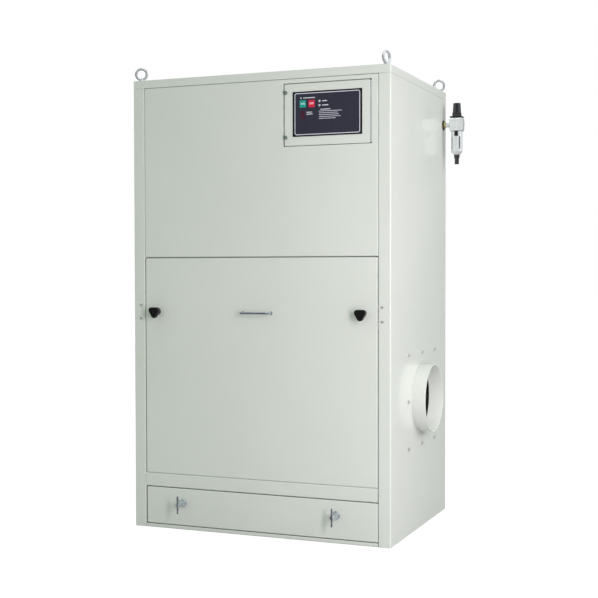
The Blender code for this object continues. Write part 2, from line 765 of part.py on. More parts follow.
def turned(name, profile, material, origin, sides=ROUND):
    """A turned piece from a profile of (radius, height) points, down its outer side."""
    shape = bmesh.new()
    points = [shape.verts.new((radius, 0.0, height)) for radius, height in profile]
    for pair in zip(points, points[1:]):
        shape.edges.new(pair)
    obj = object_from(name, shape, material, origin)
    turn = obj.modifiers.new("turning", "SCREW")
    turn.steps = sides
    turn.render_steps = sides
    turn.use_merge_vertices = True
    turn.merge_threshold = 0.00005
    return smooth(obj)


def build_inlet(paint):
    """The round spigot through the right wall, on a square flange inside it."""
    inner = INLET_RADIUS - INLET_SHEET
    start = SIDE - SHEET - SEAT - INLET_SHEET
    inlet = object_from(
        "inlet_collar", rod_shape(INLET_RADIUS, start, SIDE + INLET_REACH, "x", 2 * ROUND), paint,
        (0.0, INLET_Y, INLET_RISE))
    half = INLET_FLANGE / 2
    flange = helper_box("inlet_flange",
                        (start, INLET_Y - half, INLET_RISE - half),
                        (SIDE - SHEET - SEAT, INLET_Y + half, INLET_RISE + half))
    join(inlet, flange)
    cut(inlet, helper_rod("inlet_bore", inner, start - CUT_OVERRUN,
                          SIDE + INLET_REACH + CUT_OVERRUN, "x", (INLET_Y, INLET_RISE), 2 * ROUND))
    return smooth(inlet)


def build_eyes(zinc):
    """The four lifting eyes, each screwed down through a corner of the cap."""
    made = []
    for word, degrees in EYE_TURNS.items():
        x_sign = 1 if word.endswith("right") else -1
        y_sign = -1 if word.startswith("front") else 1
        spot = (x_sign * (SIDE - EYE_INSET), y_sign * (REAR - EYE_INSET))
        base = CABINET_HEIGHT + SEAT
        bpy.ops.mesh.primitive_torus_add(
            major_radius=EYE_RING_RADIUS, minor_radius=EYE_SECTION, major_segments=24,
            minor_segments=8, rotation=(math.radians(90), 0.0, 0.0))
        ring = bpy.context.object
        ring.name = "lifting_eye_" + word
        for owner in list(ring.users_collection):
            owner.objects.unlink(ring)
        collection(PARTS).objects.link(ring)
        ring.data.transform(Matrix.Rotation(math.radians(90), 4, "X"))
        ring.rotation_euler = (0.0, 0.0, math.radians(degrees))
        ring.location = (spot[0], spot[1], base + EYE_CENTRE)
        ring.data.materials.append(zinc)
        ring_bottom = EYE_CENTRE - EYE_RING_RADIUS
        join(
            ring,
            helper_rod("eye_collar", EYE_COLLAR_RADIUS, base, base + EYE_COLLAR_HEIGHT, "z", spot,
                       SMALL_ROUND, EYE_COLLAR_TOP),
            helper_rod("eye_thread", EYE_THREAD_RADIUS, base - EYE_THREAD_LENGTH,
                       base + ring_bottom, "z", spot, ROD_ROUND),
        )
        made.append(smooth(ring))
    return made


def build_air_line(finishes):
    """The compressed-air entry: the grommet in the wall, its brass union and the nipple."""
    across = (AIR_Y, AIR_RISE)
    wall_in = SIDE - SHEET
    grommet = object_from(
        "wall_grommet",
        rod_shape(GROMMET_RADIUS, SIDE + SEAT, SIDE + SEAT + GROMMET_THICKNESS, "x"),
        finishes["seal_rubber"], (0.0, *across))
    join(grommet, helper_rod("grommet_sleeve", GROMMET_RADIUS - GROMMET_THICKNESS - SEAT,
                             wall_in - GROMMET_THICKNESS, SIDE + SEAT + GROMMET_THICKNESS / 2,
                             "x", across))
    cut(grommet, helper_rod("grommet_bore", GROMMET_BORE, SIDE - CUT_OVERRUN, SIDE + CUT_OVERRUN,
                            "x", across))
    union_end = SIDE + UNION_OUTSIDE
    body_left = AIR_X - REGULATOR_WIDTH / 2
    fitting = object_from(
        "air_union", rod_shape(UNION_RADIUS, SIDE - UNION_INSIDE, union_end, "x", 6),
        finishes["brass"], (0.0, *across))
    nipple = object_from(
        "air_nipple", rod_shape(NIPPLE_RADIUS, union_end + SEAT, body_left - SEAT, "x", SMALL_ROUND),
        finishes["cast_alloy"], (0.0, *across))
    return [grommet, fitting, nipple]


def build_regulator(finishes):
    """The filter regulator: its cast body, black bonnet and the dial that turns on it."""
    bottom = AIR_RISE - REGULATOR_BELOW_PORT
    top = bottom + REGULATOR_HEIGHT - BONNET_HEIGHT - SEAT
    half_w = REGULATOR_WIDTH / 2
    half_d = REGULATOR_DEPTH / 2
    body = box("regulator_body", (AIR_X - half_w, AIR_Y - half_d, bottom),
               (AIR_X + half_w, AIR_Y + half_d, top), finishes["cast_alloy"])
    add_bevel(body, REGULATOR_CHAMFER, 2)
    boss = AIR_X + half_w
    across = (AIR_Y, AIR_RISE)
    middle = (bottom + top) / 2
    join(
        body,
        helper_rod("port_boss", PORT_RADIUS, boss - PORT_ROOT, boss + PORT_RISE, "x", across),
        helper_box("cover_plate",
                   (AIR_X - COVER_SIZE / 2, AIR_Y - half_d - COVER_RISE, middle - COVER_SIZE / 2),
                   (AIR_X + COVER_SIZE / 2, AIR_Y, middle + COVER_SIZE / 2)),
    )
    cut(body, helper_rod("port_bore", PORT_BORE, boss - PORT_DEPTH, boss + CUT_OVERRUN, "x", across,
                         SMALL_ROUND))
    bonnet_low = top + SEAT
    bonnet = box("regulator_bonnet",
                 (AIR_X - BONNET_WIDTH / 2, AIR_Y - BONNET_DEPTH / 2, bonnet_low),
                 (AIR_X + BONNET_WIDTH / 2, AIR_Y + BONNET_DEPTH / 2, bonnet_low + BONNET_HEIGHT),
                 finishes["black_plastic"])
    add_bevel(bonnet, BONNET_CHAMFER, 1)
    dial_low = bonnet_low + BONNET_HEIGHT + SEAT
    base = fluted_shape(DIAL_BASE_RADIUS, DIAL_RIB_DEPTH, DIAL_RIBS, DIAL_BASE_HEIGHT)
    dial = object_from("pressure_dial", base, finishes["black_plastic"], (AIR_X, AIR_Y, dial_low))
    barrel_low = DIAL_BASE_HEIGHT / 2
    barrel = rod_shape(DIAL_BASE_RADIUS - 2 * DIAL_RIB_DEPTH, barrel_low, DIAL_HEIGHT, "z", ROUND,
                       DIAL_TOP_RADIUS)
    rim = [edge for edge in barrel.edges if min(vert.co.z for vert in edge.verts) > DIAL_BASE_HEIGHT]
    bmesh.ops.bevel(barrel, geom=rim, offset=DIAL_EDGE, segments=1, affect="EDGES")
    join(dial, object_from("dial_barrel", barrel, finishes["black_plastic"],
                           (AIR_X, AIR_Y, dial_low)))
    return [body, bonnet, smooth(dial)]


def build_bowl(finishes):
    """What hangs under the regulator: the slotted guard, its lock, the clear bowl and the drain."""
    spot = (AIR_X, AIR_Y, 0.0)
    guard_top = AIR_RISE - REGULATOR_BELOW_PORT - SEAT
    guard_low = guard_top - GUARD_HEIGHT
    taper_top = guard_low + GUARD_TAPER
    inner = GUARD_RADIUS - GUARD_WALL
    guard = turned(
        "bowl_guard",
        [(inner, guard_top), (GUARD_RADIUS, guard_top), (GUARD_RADIUS, taper_top),
         (GUARD_MOUTH + GUARD_WALL, guard_low), (GUARD_MOUTH, guard_low),
         (GUARD_MOUTH, guard_low + GUARD_WALL), (inner, taper_top), (inner, guard_top)],
        finishes["cast_alloy"], spot)
    slot_rise = guard_top - SLOT_DROP - SLOT_LENGTH / 2
    for quarter in range(4):
        turn = math.radians(45 + 90 * quarter)
        slot = object_from("guard_slot", box_shape((SLOT_DEPTH, SLOT_WIDTH, SLOT_LENGTH)),
                           finishes["cast_alloy"],
                           (AIR_X + GUARD_RADIUS * math.cos(turn),
                            AIR_Y + GUARD_RADIUS * math.sin(turn), slot_rise))
        slot.rotation_euler = (0.0, 0.0, turn)
        cut(guard, slot)
    lock = object_from(
        "guard_lock", rod_shape(GUARD_RADIUS + LOCK_RISE, -LOCK_HEIGHT / 2, LOCK_HEIGHT / 2, "z"),
        finishes["black_plastic"], (AIR_X, AIR_Y, guard_top - LOCK_HEIGHT / 2))
    cut(lock, helper_rod("lock_back", GUARD_RADIUS + SEAT, guard_top - LOCK_HEIGHT - CUT_OVERRUN,
                         guard_top + CUT_OVERRUN, "z", (AIR_X, AIR_Y)))
    keep = object_from("lock_window", box_shape((LOCK_WIDTH, GUARD_RADIUS, LOCK_HEIGHT * 2)),
                       finishes["black_plastic"],
                       (AIR_X + GUARD_RADIUS * math.sin(math.radians(LOCK_TURN)),
                        AIR_Y - GUARD_RADIUS * math.cos(math.radians(LOCK_TURN)), guard_top))
    keep.rotation_euler = (0.0, 0.0, math.radians(LOCK_TURN))
    boolean(lock, keep, "INTERSECT")
    bowl_outer = inner - SEAT
    bowl_low = taper_top + SEAT
    bowl_top = guard_top - BOWL_DROP
    bowl = turned(
        "filter_bowl",
        [(0.0, bowl_low + BOWL_WALL), (bowl_outer - BOWL_WALL, bowl_low + BOWL_WALL),
         (bowl_outer - BOWL_WALL, bowl_top), (bowl_outer, bowl_top), (bowl_outer, bowl_low),
         (0.0, bowl_low)],
        finishes["bowl_plastic"], spot)
    neck = GUARD_MOUTH - SEAT - DRAIN_CHAMFER
    barrel_low = guard_low - DRAIN_BARREL
    drain = turned(
        "drain_cock",
        [(0.0, guard_low + GUARD_TAPER / 2), (neck, guard_low + GUARD_TAPER / 2), (neck, guard_low),
         (DRAIN_RADIUS, guard_low - SEAT), (DRAIN_RADIUS, barrel_low),
         (DRAIN_TIP_RADIUS, barrel_low - DRAIN_CHAMFER), (DRAIN_TIP_RADIUS, guard_low - DRAIN_LENGTH),
         (0.0, guard_low - DRAIN_LENGTH)],
        finishes["black_plastic"], spot, SMALL_ROUND)
    return [guard, lock, bowl, drain]


def build_rear(paint):
    """The two rear panels and the exhaust louvre in the upper one."""
    edge = SIDE - REAR_RETURN - PANEL_GAP
    low = SILL_HEIGHT + PANEL_GAP
    lower = pan("lower_rear_panel", (-edge, REAR - POST_RETURN, low),
                (edge, REAR, PANEL_BOTTOM - PANEL_GAP / 2), "-y", paint)
    upper = pan("upper_rear_panel", (-edge, REAR - POST_RETURN, PANEL_BOTTOM + PANEL_GAP / 2),
                (edge, REAR, WALL_TOP), "-y", paint)
    hole_x = LOUVRE_WIDTH / 2 - LOUVRE_MARGIN
    hole_z = LOUVRE_HEIGHT / 2 - LOUVRE_MARGIN
    wide_x = LOUVRE_WIDTH / 2 - LOUVRE_LAP
    wide_z = LOUVRE_HEIGHT / 2 - LOUVRE_LAP
    cut(upper, helper_box("exhaust_hole", (-wide_x, REAR - CUT_OVERRUN, LOUVRE_RISE - wide_z),
                          (wide_x, REAR + CUT_OVERRUN, LOUVRE_RISE + wide_z)))
    face = REAR + SEAT
    grille = box("exhaust_grille", (-LOUVRE_WIDTH / 2, face, LOUVRE_RISE - LOUVRE_HEIGHT / 2),
                 (LOUVRE_WIDTH / 2, face + SHEET, LOUVRE_RISE + LOUVRE_HEIGHT / 2), paint)
    cut(grille, helper_box("grille_window", (-hole_x, face - CUT_OVERRUN, LOUVRE_RISE - hole_z),
                           (hole_x, face + CUT_OVERRUN, LOUVRE_RISE + hole_z)))
    pitch = 2 * hole_z / LOUVRE_BLADES
    for number in range(LOUVRE_BLADES):
        rise = LOUVRE_RISE - hole_z + pitch * (number + 0.5)
        blade = object_from(
            "grille_blade", box_shape((2 * hole_x + SHEET, LOUVRE_BLADE_DEPTH, SHEET)), paint,
            (0.0, face + SHEET + LOUVRE_BLADE_OUT, rise))
        blade.rotation_euler = (math.radians(-LOUVRE_ANGLE), 0.0, 0.0)
        join(grille, blade)
    return lower, upper, grille


def build_tube_sheet(paint):
    """The plate between the dusty and the clean side, which the cartridges hang from."""
    front = FRAME_BACK + SEAT
    outline = rounded_path(
        [
            (front, SHEET_LEVEL + TUBE_SHEET_LIP),
            (front, SHEET_LEVEL),
            (REAR - POST_RETURN - SEAT, SHEET_LEVEL),
            (REAR - POST_RETURN - SEAT, SHEET_LEVEL + TUBE_SHEET_LIP),
        ],
        BEND_RADIUS,
    )
    return folded_sheet("tube_sheet", outline, "x", -INSIDE_X, INSIDE_X, SHEET, paint)


def fluted_shape(radius, depth, count, height):
    """A prism with the given number of ridges round it, standing up from its own origin."""
    shape = bmesh.new()
    ring = []
    for step in range(2 * count):
        turn = math.pi * step / count
        reach = radius - (depth if step % 2 else 0.0)
        ring.append(shape.verts.new((reach * math.cos(turn), reach * math.sin(turn), 0.0)))
    face = shape.faces.new(ring)
    swept = bmesh.ops.extrude_face_region(shape, geom=[face])
    moved = [item for item in swept["geom"] if isinstance(item, bmesh.types.BMVert)]
    bmesh.ops.translate(shape, vec=(0.0, 0.0, height), verts=moved)
    bmesh.ops.recalc_face_normals(shape, faces=shape.faces)
    return shape


def build_cartridges(media):
    """Six pleated cartridges in two rows under the tube sheet."""
    made = []
    top = SHEET_LEVEL - SEAT
    for y_sign, row in ((-1, "front"), (1, "rear")):
        for column, word in ((-1, "left"), (0, "middle"), (1, "right")):
            spot = (column * CARTRIDGE_PITCH_X, y_sign * CARTRIDGE_PITCH_Y / 2)
            low = top - CARTRIDGE_FLANGE / 2 - CARTRIDGE_LENGTH
            pleats = fluted_shape(CARTRIDGE_RADIUS, PLEAT_DEPTH, PLEAT_COUNT, CARTRIDGE_LENGTH)
            cartridge = object_from("cartridge_" + row + "_" + word, pleats, media, (*spot, low))
            join(
                cartridge,
                helper_rod("cartridge_flange", CARTRIDGE_FLANGE_RADIUS, top - CARTRIDGE_FLANGE,
                           top, "z", spot),
                helper_rod("cartridge_cap", CARTRIDGE_RADIUS + CARTRIDGE_CAP_RIM,
                           low - CARTRIDGE_CAP / 2, low + CARTRIDGE_CAP / 2, "z", spot),
            )
            made.append(cartridge)
    return made


def main():
    """Build every piece of the dust collector."""
    clear_scene()
    finishes = make_materials()
    paint = finishes["cabinet_paint"]
    zinc = finishes["zinc"]
    build_base(paint)
    build_side_panels(paint)
    build_cap(paint)
    build_rear(paint)
    build_upper_panel(paint)
    build_rail(paint)
    build_door_frame(paint, finishes["seal_rubber"])
    build_filter_door(paint, finishes["chrome"])
    build_knobs(finishes["black_plastic"], paint)
    build_drawer(paint, zinc, finishes["chrome"])
    build_controls(paint, zinc, finishes["keypad_film"], finishes["latch_plastic"])
    build_inlet(paint)
    build_eyes(zinc)
    build_air_line(finishes)
    build_regulator(finishes)
    build_bowl(finishes)
    build_tube_sheet(paint)
    build_cartridges(finishes["filter_media"])


main()
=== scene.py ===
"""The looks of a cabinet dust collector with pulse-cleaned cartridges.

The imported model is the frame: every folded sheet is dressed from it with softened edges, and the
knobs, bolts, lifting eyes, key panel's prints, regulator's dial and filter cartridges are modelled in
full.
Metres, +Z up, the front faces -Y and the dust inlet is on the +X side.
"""

import json
import logging
import math
from dataclasses import dataclass
from enum import Enum
from typing import Callable, Optional, Sequence, Union

import bmesh
import bpy
from mathutils import Matrix, Vector

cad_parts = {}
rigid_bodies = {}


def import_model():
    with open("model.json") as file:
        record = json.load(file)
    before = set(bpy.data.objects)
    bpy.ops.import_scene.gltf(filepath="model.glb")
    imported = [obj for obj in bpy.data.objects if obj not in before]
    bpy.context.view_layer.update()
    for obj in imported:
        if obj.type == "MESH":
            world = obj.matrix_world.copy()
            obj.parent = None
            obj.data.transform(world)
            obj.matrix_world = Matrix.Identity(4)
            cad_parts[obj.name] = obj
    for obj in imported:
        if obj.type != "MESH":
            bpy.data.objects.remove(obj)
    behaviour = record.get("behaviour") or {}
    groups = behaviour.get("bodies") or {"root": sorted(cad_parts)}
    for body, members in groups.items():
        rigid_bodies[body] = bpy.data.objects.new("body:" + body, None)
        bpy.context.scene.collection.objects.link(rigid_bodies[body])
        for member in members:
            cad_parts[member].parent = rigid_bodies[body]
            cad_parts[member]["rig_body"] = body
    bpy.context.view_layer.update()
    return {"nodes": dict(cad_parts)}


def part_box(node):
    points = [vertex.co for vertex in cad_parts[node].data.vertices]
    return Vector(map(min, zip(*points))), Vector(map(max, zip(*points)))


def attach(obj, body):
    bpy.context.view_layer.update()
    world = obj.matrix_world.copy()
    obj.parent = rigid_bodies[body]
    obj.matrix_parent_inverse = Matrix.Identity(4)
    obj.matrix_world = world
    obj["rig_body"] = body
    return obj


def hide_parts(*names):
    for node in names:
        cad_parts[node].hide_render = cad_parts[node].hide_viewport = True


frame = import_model()

WELD_DISTANCE = 0.00002
LEVEL_MARGIN = 0.00001
CUT_MARGIN = 0.001
FINE_GRAIN = 0.00001
LOG = logging.getLogger("dust_collector")

Colour = tuple[float, float, float]
Spot = tuple[float, float, float]
Pair = tuple[float, float]


class Body(Enum):
    """The bodies that a piece can ride on."""

    CABINET = "cabinet"
    FILTER_DOOR = "filter_door"
    LEFT_KNOB = "left_clamp_knob"
    RIGHT_KNOB = "right_clamp_knob"
    DRAWER = "dust_drawer"
    LEFT_BOLT = "left_wing_bolt"
    RIGHT_BOLT = "right_wing_bolt"
    CONTROL_DOOR = "control_door"
    DIAL = "pressure_dial"


class Slot(Enum):
    """The record's material slots."""

    PAINT = "cabinet_paint"
    ZINC = "zinc"
    CHROME = "chrome"
    BLACK = "black_plastic"
    LATCH = "latch_plastic"
    FILM = "keypad_film"
    BRASS = "brass"
    ALLOY = "cast_alloy"
    BOWL = "bowl_plastic"
    RUBBER = "seal_rubber"
    FELT = "filter_media"


class Facing(Enum):
    """How a piece sits on what carries it: its right, its up and its outward side."""

    FRONT = ((1, 0, 0), (0, 0, 1), (0, -1, 0))
    RIGHT = ((0, 1, 0), (0, 0, 1), (1, 0, 0))
    REAR = ((-1, 0, 0), (0, 0, 1), (0, 1, 0))
    UP = ((1, 0, 0), (0, 1, 0), (0, 0, 1))

    def at(self, spot: Sequence[float], turn: float = 0.0) -> Matrix:
        """The place of a piece that is modelled standing on its own XY plane.

        Args:
            spot: where its origin goes.
            turn: how far it is turned about its own outward axis, in degrees.

        Returns:
            The matrix that takes the piece from its own axes to the frame's.
        """
        axes = Matrix([Vector(axis) for axis in self.value]).transposed().to_4x4()
        return Matrix.Translation(spot) @ axes @ Matrix.Rotation(math.radians(turn), 4, "Z")


class Value:
    """A shader socket that takes part in Python expressions."""

    def __init__(self, graph: "Graph", socket: bpy.types.NodeSocket) -> None:
        """Keep the socket and the graph that new nodes go into."""
        self.graph = graph
        self.socket = socket

    def maths(self, operation: str, *operands: object) -> "Value":
        """One Math node.

        Args:
            operation: the node's operation.
            operands: numbers or values, in the order of its inputs.

        Returns:
            Its result.
        """
        made = self.graph.node("ShaderNodeMath", {"operation": operation}, dict(enumerate(operands)))
        return Value(self.graph, made.outputs[0])

    def __add__(self, other: object) -> "Value":
        """Sum."""
        return self.maths("ADD", self, other)

    __radd__ = __add__

    def __sub__(self, other: object) -> "Value":
        """Difference."""
        return self.maths("SUBTRACT", self, other)

    def __rsub__(self, other: object) -> "Value":
        """Difference from a number."""
        return self.maths("SUBTRACT", other, self)

    def __mul__(self, other: object) -> "Value":
        """Product."""
        return self.maths("MULTIPLY", self, other)

    __rmul__ = __mul__

    def __pow__(self, other: object) -> "Value":
        """Power."""
        return self.maths("POWER", self, other)

    def larger(self, other: object) -> "Value":
        """The larger of the two."""
        return self.maths("MAXIMUM", self, other)

    def between(self, low: float, high: float) -> "Value":
        """A smooth step.

        Args:
            low: the value at which it is 0.
            high: the value at which it is 1.

        Returns:
            0 to 1.
        """
        made = self.graph.node(
            "ShaderNodeMapRange",
            {"interpolation_type": "SMOOTHSTEP"},
            {"Value": self, "From Min": low, "From Max": high},
        )
        return Value(self.graph, made.outputs["Result"])


class Graph:
    """The nodes of one material or of the world."""

    def __init__(self, tree: bpy.types.NodeTree) -> None:
        """Keep the tree that the nodes go into."""
        self.tree = tree

    def node(
        self,
        kind: str,
        settings: Optional[dict[str, object]] = None,
        sockets: Optional[dict[Union[str, int], object]] = None,
    ) -> bpy.types.Node:
        """Add one node.

        Args:
            kind: the node's type.
            settings: its own settings, which are set first.
            sockets: numbers, colours or values for its inputs.

        Returns:
            The node.
        """
        made = self.tree.nodes.new(kind)
        for name, value in (settings or {}).items():
            setattr(made, name, value)
        for name, value in (sockets or {}).items():
            self.feed(made.inputs[name], value)
        return made

    def feed(self, socket: bpy.types.NodeSocket, value: object) -> None:
        """Link a value to an input, or set it.

        Args:
            socket: the input.
            value: a value or another node's output, which is linked, or a constant.
        """
        if isinstance(value, Value):
            self.tree.links.new(value.socket, socket)
        elif isinstance(value, bpy.types.NodeSocket):
            self.tree.links.new(value, socket)
        else:
            socket.default_value = value

    def blend(self, share: Value, first: object, second: object) -> Value:
        """Mix two colours, which go to the node's inputs 6 and 7.

        Args:
            share: how much of the second there is, from 0 to 1.
            first: a colour or a value.
            second: a colour or a value.

        Returns:
            The mixed colour.
        """
        colours = [(*side, 1.0) if isinstance(side, tuple) else side for side in (first, second)]
        made = self.node(
            "ShaderNodeMix", {"data_type": "RGBA"}, {0: share, 6: colours[0], 7: colours[1]}
        )
        return Value(self, made.outputs[2])


class SurfaceGraph(Graph):
    """The nodes of a surface finish around its Principled shader."""

    def __init__(self, name: str, **constants: object) -> None:
        """Make the material.

        Args:
            name: its name.
            constants: values that are the same all over, by socket name with _ for a space.
        """
        self.material = bpy.data.materials.new(name)
        self.material.use_nodes = True
        super().__init__(self.material.node_tree)
        self.shader = self.tree.nodes["Principled BSDF"]
        for socket, value in constants.items():
            self.shader.inputs[socket.replace("_", " ")].default_value = value
        self.spot = Value(self, self.node("ShaderNodeTexCoord").outputs["Object"])

    def noise(
        self,
        scale: float,
        detail: float = 2.0,
        stretch: Sequence[float] = (1.0, 1.0, 1.0),
        shift: float = 0.0,
    ) -> Value:
        """Even noise in the object's own space.

        Args:
            scale: features per metre.
            detail: how many finer layers it has.
            stretch: how much tighter it runs along X, Y and Z.
            shift: how far it is moved, so that two noises differ.

        Returns:
            0 to 1, mostly near 0.5.
        """
        moved = self.node(
            "ShaderNodeMapping", {}, {"Vector": self.spot, "Scale": stretch, "Location": (shift,) * 3}
        )
        made = self.node(
            "ShaderNodeTexNoise",
            {},
            {"Vector": moved.outputs["Vector"], "Scale": scale, "Detail": detail},
        )
        return Value(self, made.outputs["Fac"])

    def along(self, axis: str) -> Value:
        """One coordinate of the surface, X, Y or Z, in metres."""
        made = self.node("ShaderNodeSeparateXYZ", {}, {"Vector": self.spot})
        return Value(self, made.outputs[axis])

    def set(self, **sockets: object) -> None:
        """Feed the shader's inputs, by socket name with _ for a space."""
        for socket, value in sockets.items():
            self.feed(self.shader.inputs[socket.replace("_", " ")], value)

    def raise_by(self, height: Value, distance: float) -> None:
        """Give the surface a relief that is the given distance deep, in metres."""
        made = self.node("ShaderNodeBump", {}, {"Height": height, "Distance": distance})
        self.feed(self.shader.inputs["Normal"], made.outputs["Normal"])


def middle_of(node: str) -> Vector:
    """The middle of a node's box."""
    low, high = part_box(node)
    return (low + high) / 2


def toned(colour: Colour, share: float) -> Colour:
    """A colour made darker or paler by a share, no paler than white."""
    return tuple(min(1.0, part * share) for part in colour)


@dataclass(frozen=True)
class Bore:
    """The inside of a round collar that runs along X, painted paler: painted light in the collar's
    shaded bore.
    """

    middle_y: float
    middle_z: float
    radius: float = 0.1235
    blur: float = 0.0004
    # How much paler the bore is painted: painted light that lifts the shade inside the collar.
    paler: float = 1.30

    def outside(self, graph: SurfaceGraph) -> Value:
        """Tell the collar's outside from its bore.

        Args:
            graph: the finish's nodes.

        Returns:
            0 in the bore and 1 outside it.
        """
        aside = graph.along("Y") - self.middle_y
        above = graph.along("Z") - self.middle_z
        outward = (aside * aside + above * above) ** 0.5
        return outward.between(self.radius - self.blur, self.radius + self.blur)


@dataclass(frozen=True)
class Enamel:
    """Baked enamel over folded sheet: nearly even, with a fine orange peel under its gloss."""

    name: str = "pale_enamel"
    colour: Colour = (0.648, 0.680, 0.636)
    deeper: Colour = (0.630, 0.664, 0.616)
    roughness: float = 0.30
    roughness_swing: float = 0.08
    coat: float = 0.45
    coat_roughness: float = 0.035
    cloud_scale: float = 2.2
    speckle_share: float = 0.2
    peel_scale: float = 230.0
    peel_depth: float = 0.00002
    bore: Optional[Bore] = None

    def material(self) -> bpy.types.Material:
        """Make the finish, with painted light that makes the bore of a collar paler where it has one.

        Returns:
            The material.
        """
        graph = SurfaceGraph(self.name, Coat_Roughness=self.coat_roughness, Coat_Weight=self.coat)
        clouds = graph.noise(self.cloud_scale, detail=3.0)
        speckle = graph.noise(self.peel_scale * 2, detail=1.0, shift=3.0)
        share = clouds * (1 - self.speckle_share) + speckle * self.speckle_share
        colour = graph.blend(share.between(0.35, 0.65), self.deeper, self.colour)
        # Painted light: the shaded bore of the collar gets a paler colour than the rest of the enamel.
        if self.bore:
            pale = toned(self.colour, self.bore.paler)
            colour = graph.blend(self.bore.outside(graph), pale, colour)
        graph.set(
            Base_Color=colour,
            Roughness=self.roughness + (clouds - 0.5) * self.roughness_swing,
        )
        graph.raise_by(graph.noise(self.peel_scale, shift=7.0), self.peel_depth)
        return graph.material


@dataclass(frozen=True)
class Metal:
    """A plated, turned or cast metal."""

    name: str
    colour: Colour
    roughness: float
    darker: float = 0.85
    mottle_scale: float = 90.0
    mottle_swing: float = 0.12
    grain_scale: float = 900.0
    grain_swing: float = 0.08
    grain_depth: float = 0.00001
    metallic: float = 1.0

    def material(self) -> bpy.types.Material:
        """Make the finish.

        Returns:
            The material.
        """
        graph = SurfaceGraph(self.name, Metallic=self.metallic)
        mottle = graph.noise(self.mottle_scale, detail=3.0)
        grain = graph.noise(self.grain_scale, shift=5.0)
        rough = self.roughness + (mottle - 0.5) * self.mottle_swing + (grain - 0.5) * self.grain_swing
        shade = toned(self.colour, self.darker)
        graph.set(
            Base_Color=graph.blend(mottle.between(0.3, 0.7), shade, self.colour),
            Roughness=rough,
        )
        graph.raise_by(grain, self.grain_depth)
        return graph.material


@dataclass(frozen=True)
class Moulding:
    """A moulded plastic, printed film or rubber with a fine grained skin."""

    name: str
    colour: Colour
    roughness: float
    lighter: float = 1.25
    haze_swing: float = 0.14
    grain_scale: float = 1300.0
    grain_depth: float = 0.00003
    coat: float = 0.0

    def material(self) -> bpy.types.Material:
        """Make the finish.

        Returns:
            The material.
        """
        graph = SurfaceGraph(self.name, Coat_Weight=self.coat)
        grain = graph.noise(self.grain_scale)
        haze = graph.noise(self.grain_scale / 12, detail=3.0, shift=2.0)
        pale = toned(self.colour, self.lighter)
        graph.set(
            Base_Color=graph.blend(haze.between(0.3, 0.75), self.colour, pale),
            Roughness=self.roughness + (haze - 0.5) * self.haze_swing,
        )
        graph.raise_by(grain, self.grain_depth)
        return graph.material


@dataclass(frozen=True)
class Felt:
    """Needled filter felt: fibrous, faintly grey where dust has caught in it."""

    name: str = "pleated_felt"
    colour: Colour = (0.80, 0.80, 0.76)
    dusty: Colour = (0.60, 0.59, 0.55)
    dust_scale: float = 9.0
    dust_share: float = 0.7
    fibre_scale: float = 700.0
    fibre_depth: float = 0.0002
    roughness: float = 0.92
    sheen: float = 0.25

    def material(self) -> bpy.types.Material:
        """Make the finish.

        Returns:
            The material.
        """
        graph = SurfaceGraph(self.name, Sheen_Weight=self.sheen)
        fibre = graph.noise(self.fibre_scale, detail=4.0, stretch=(1.0, 1.0, 0.35))
        dust = graph.noise(self.dust_scale, detail=4.0, shift=1.0)
        share = dust * self.dust_share + fibre * (1 - self.dust_share)
        graph.set(
            Base_Color=graph.blend(share.between(0.35, 0.7), self.colour, self.dusty),
            Roughness=self.roughness,
        )
        graph.raise_by(fibre, self.fibre_depth)
        return graph.material


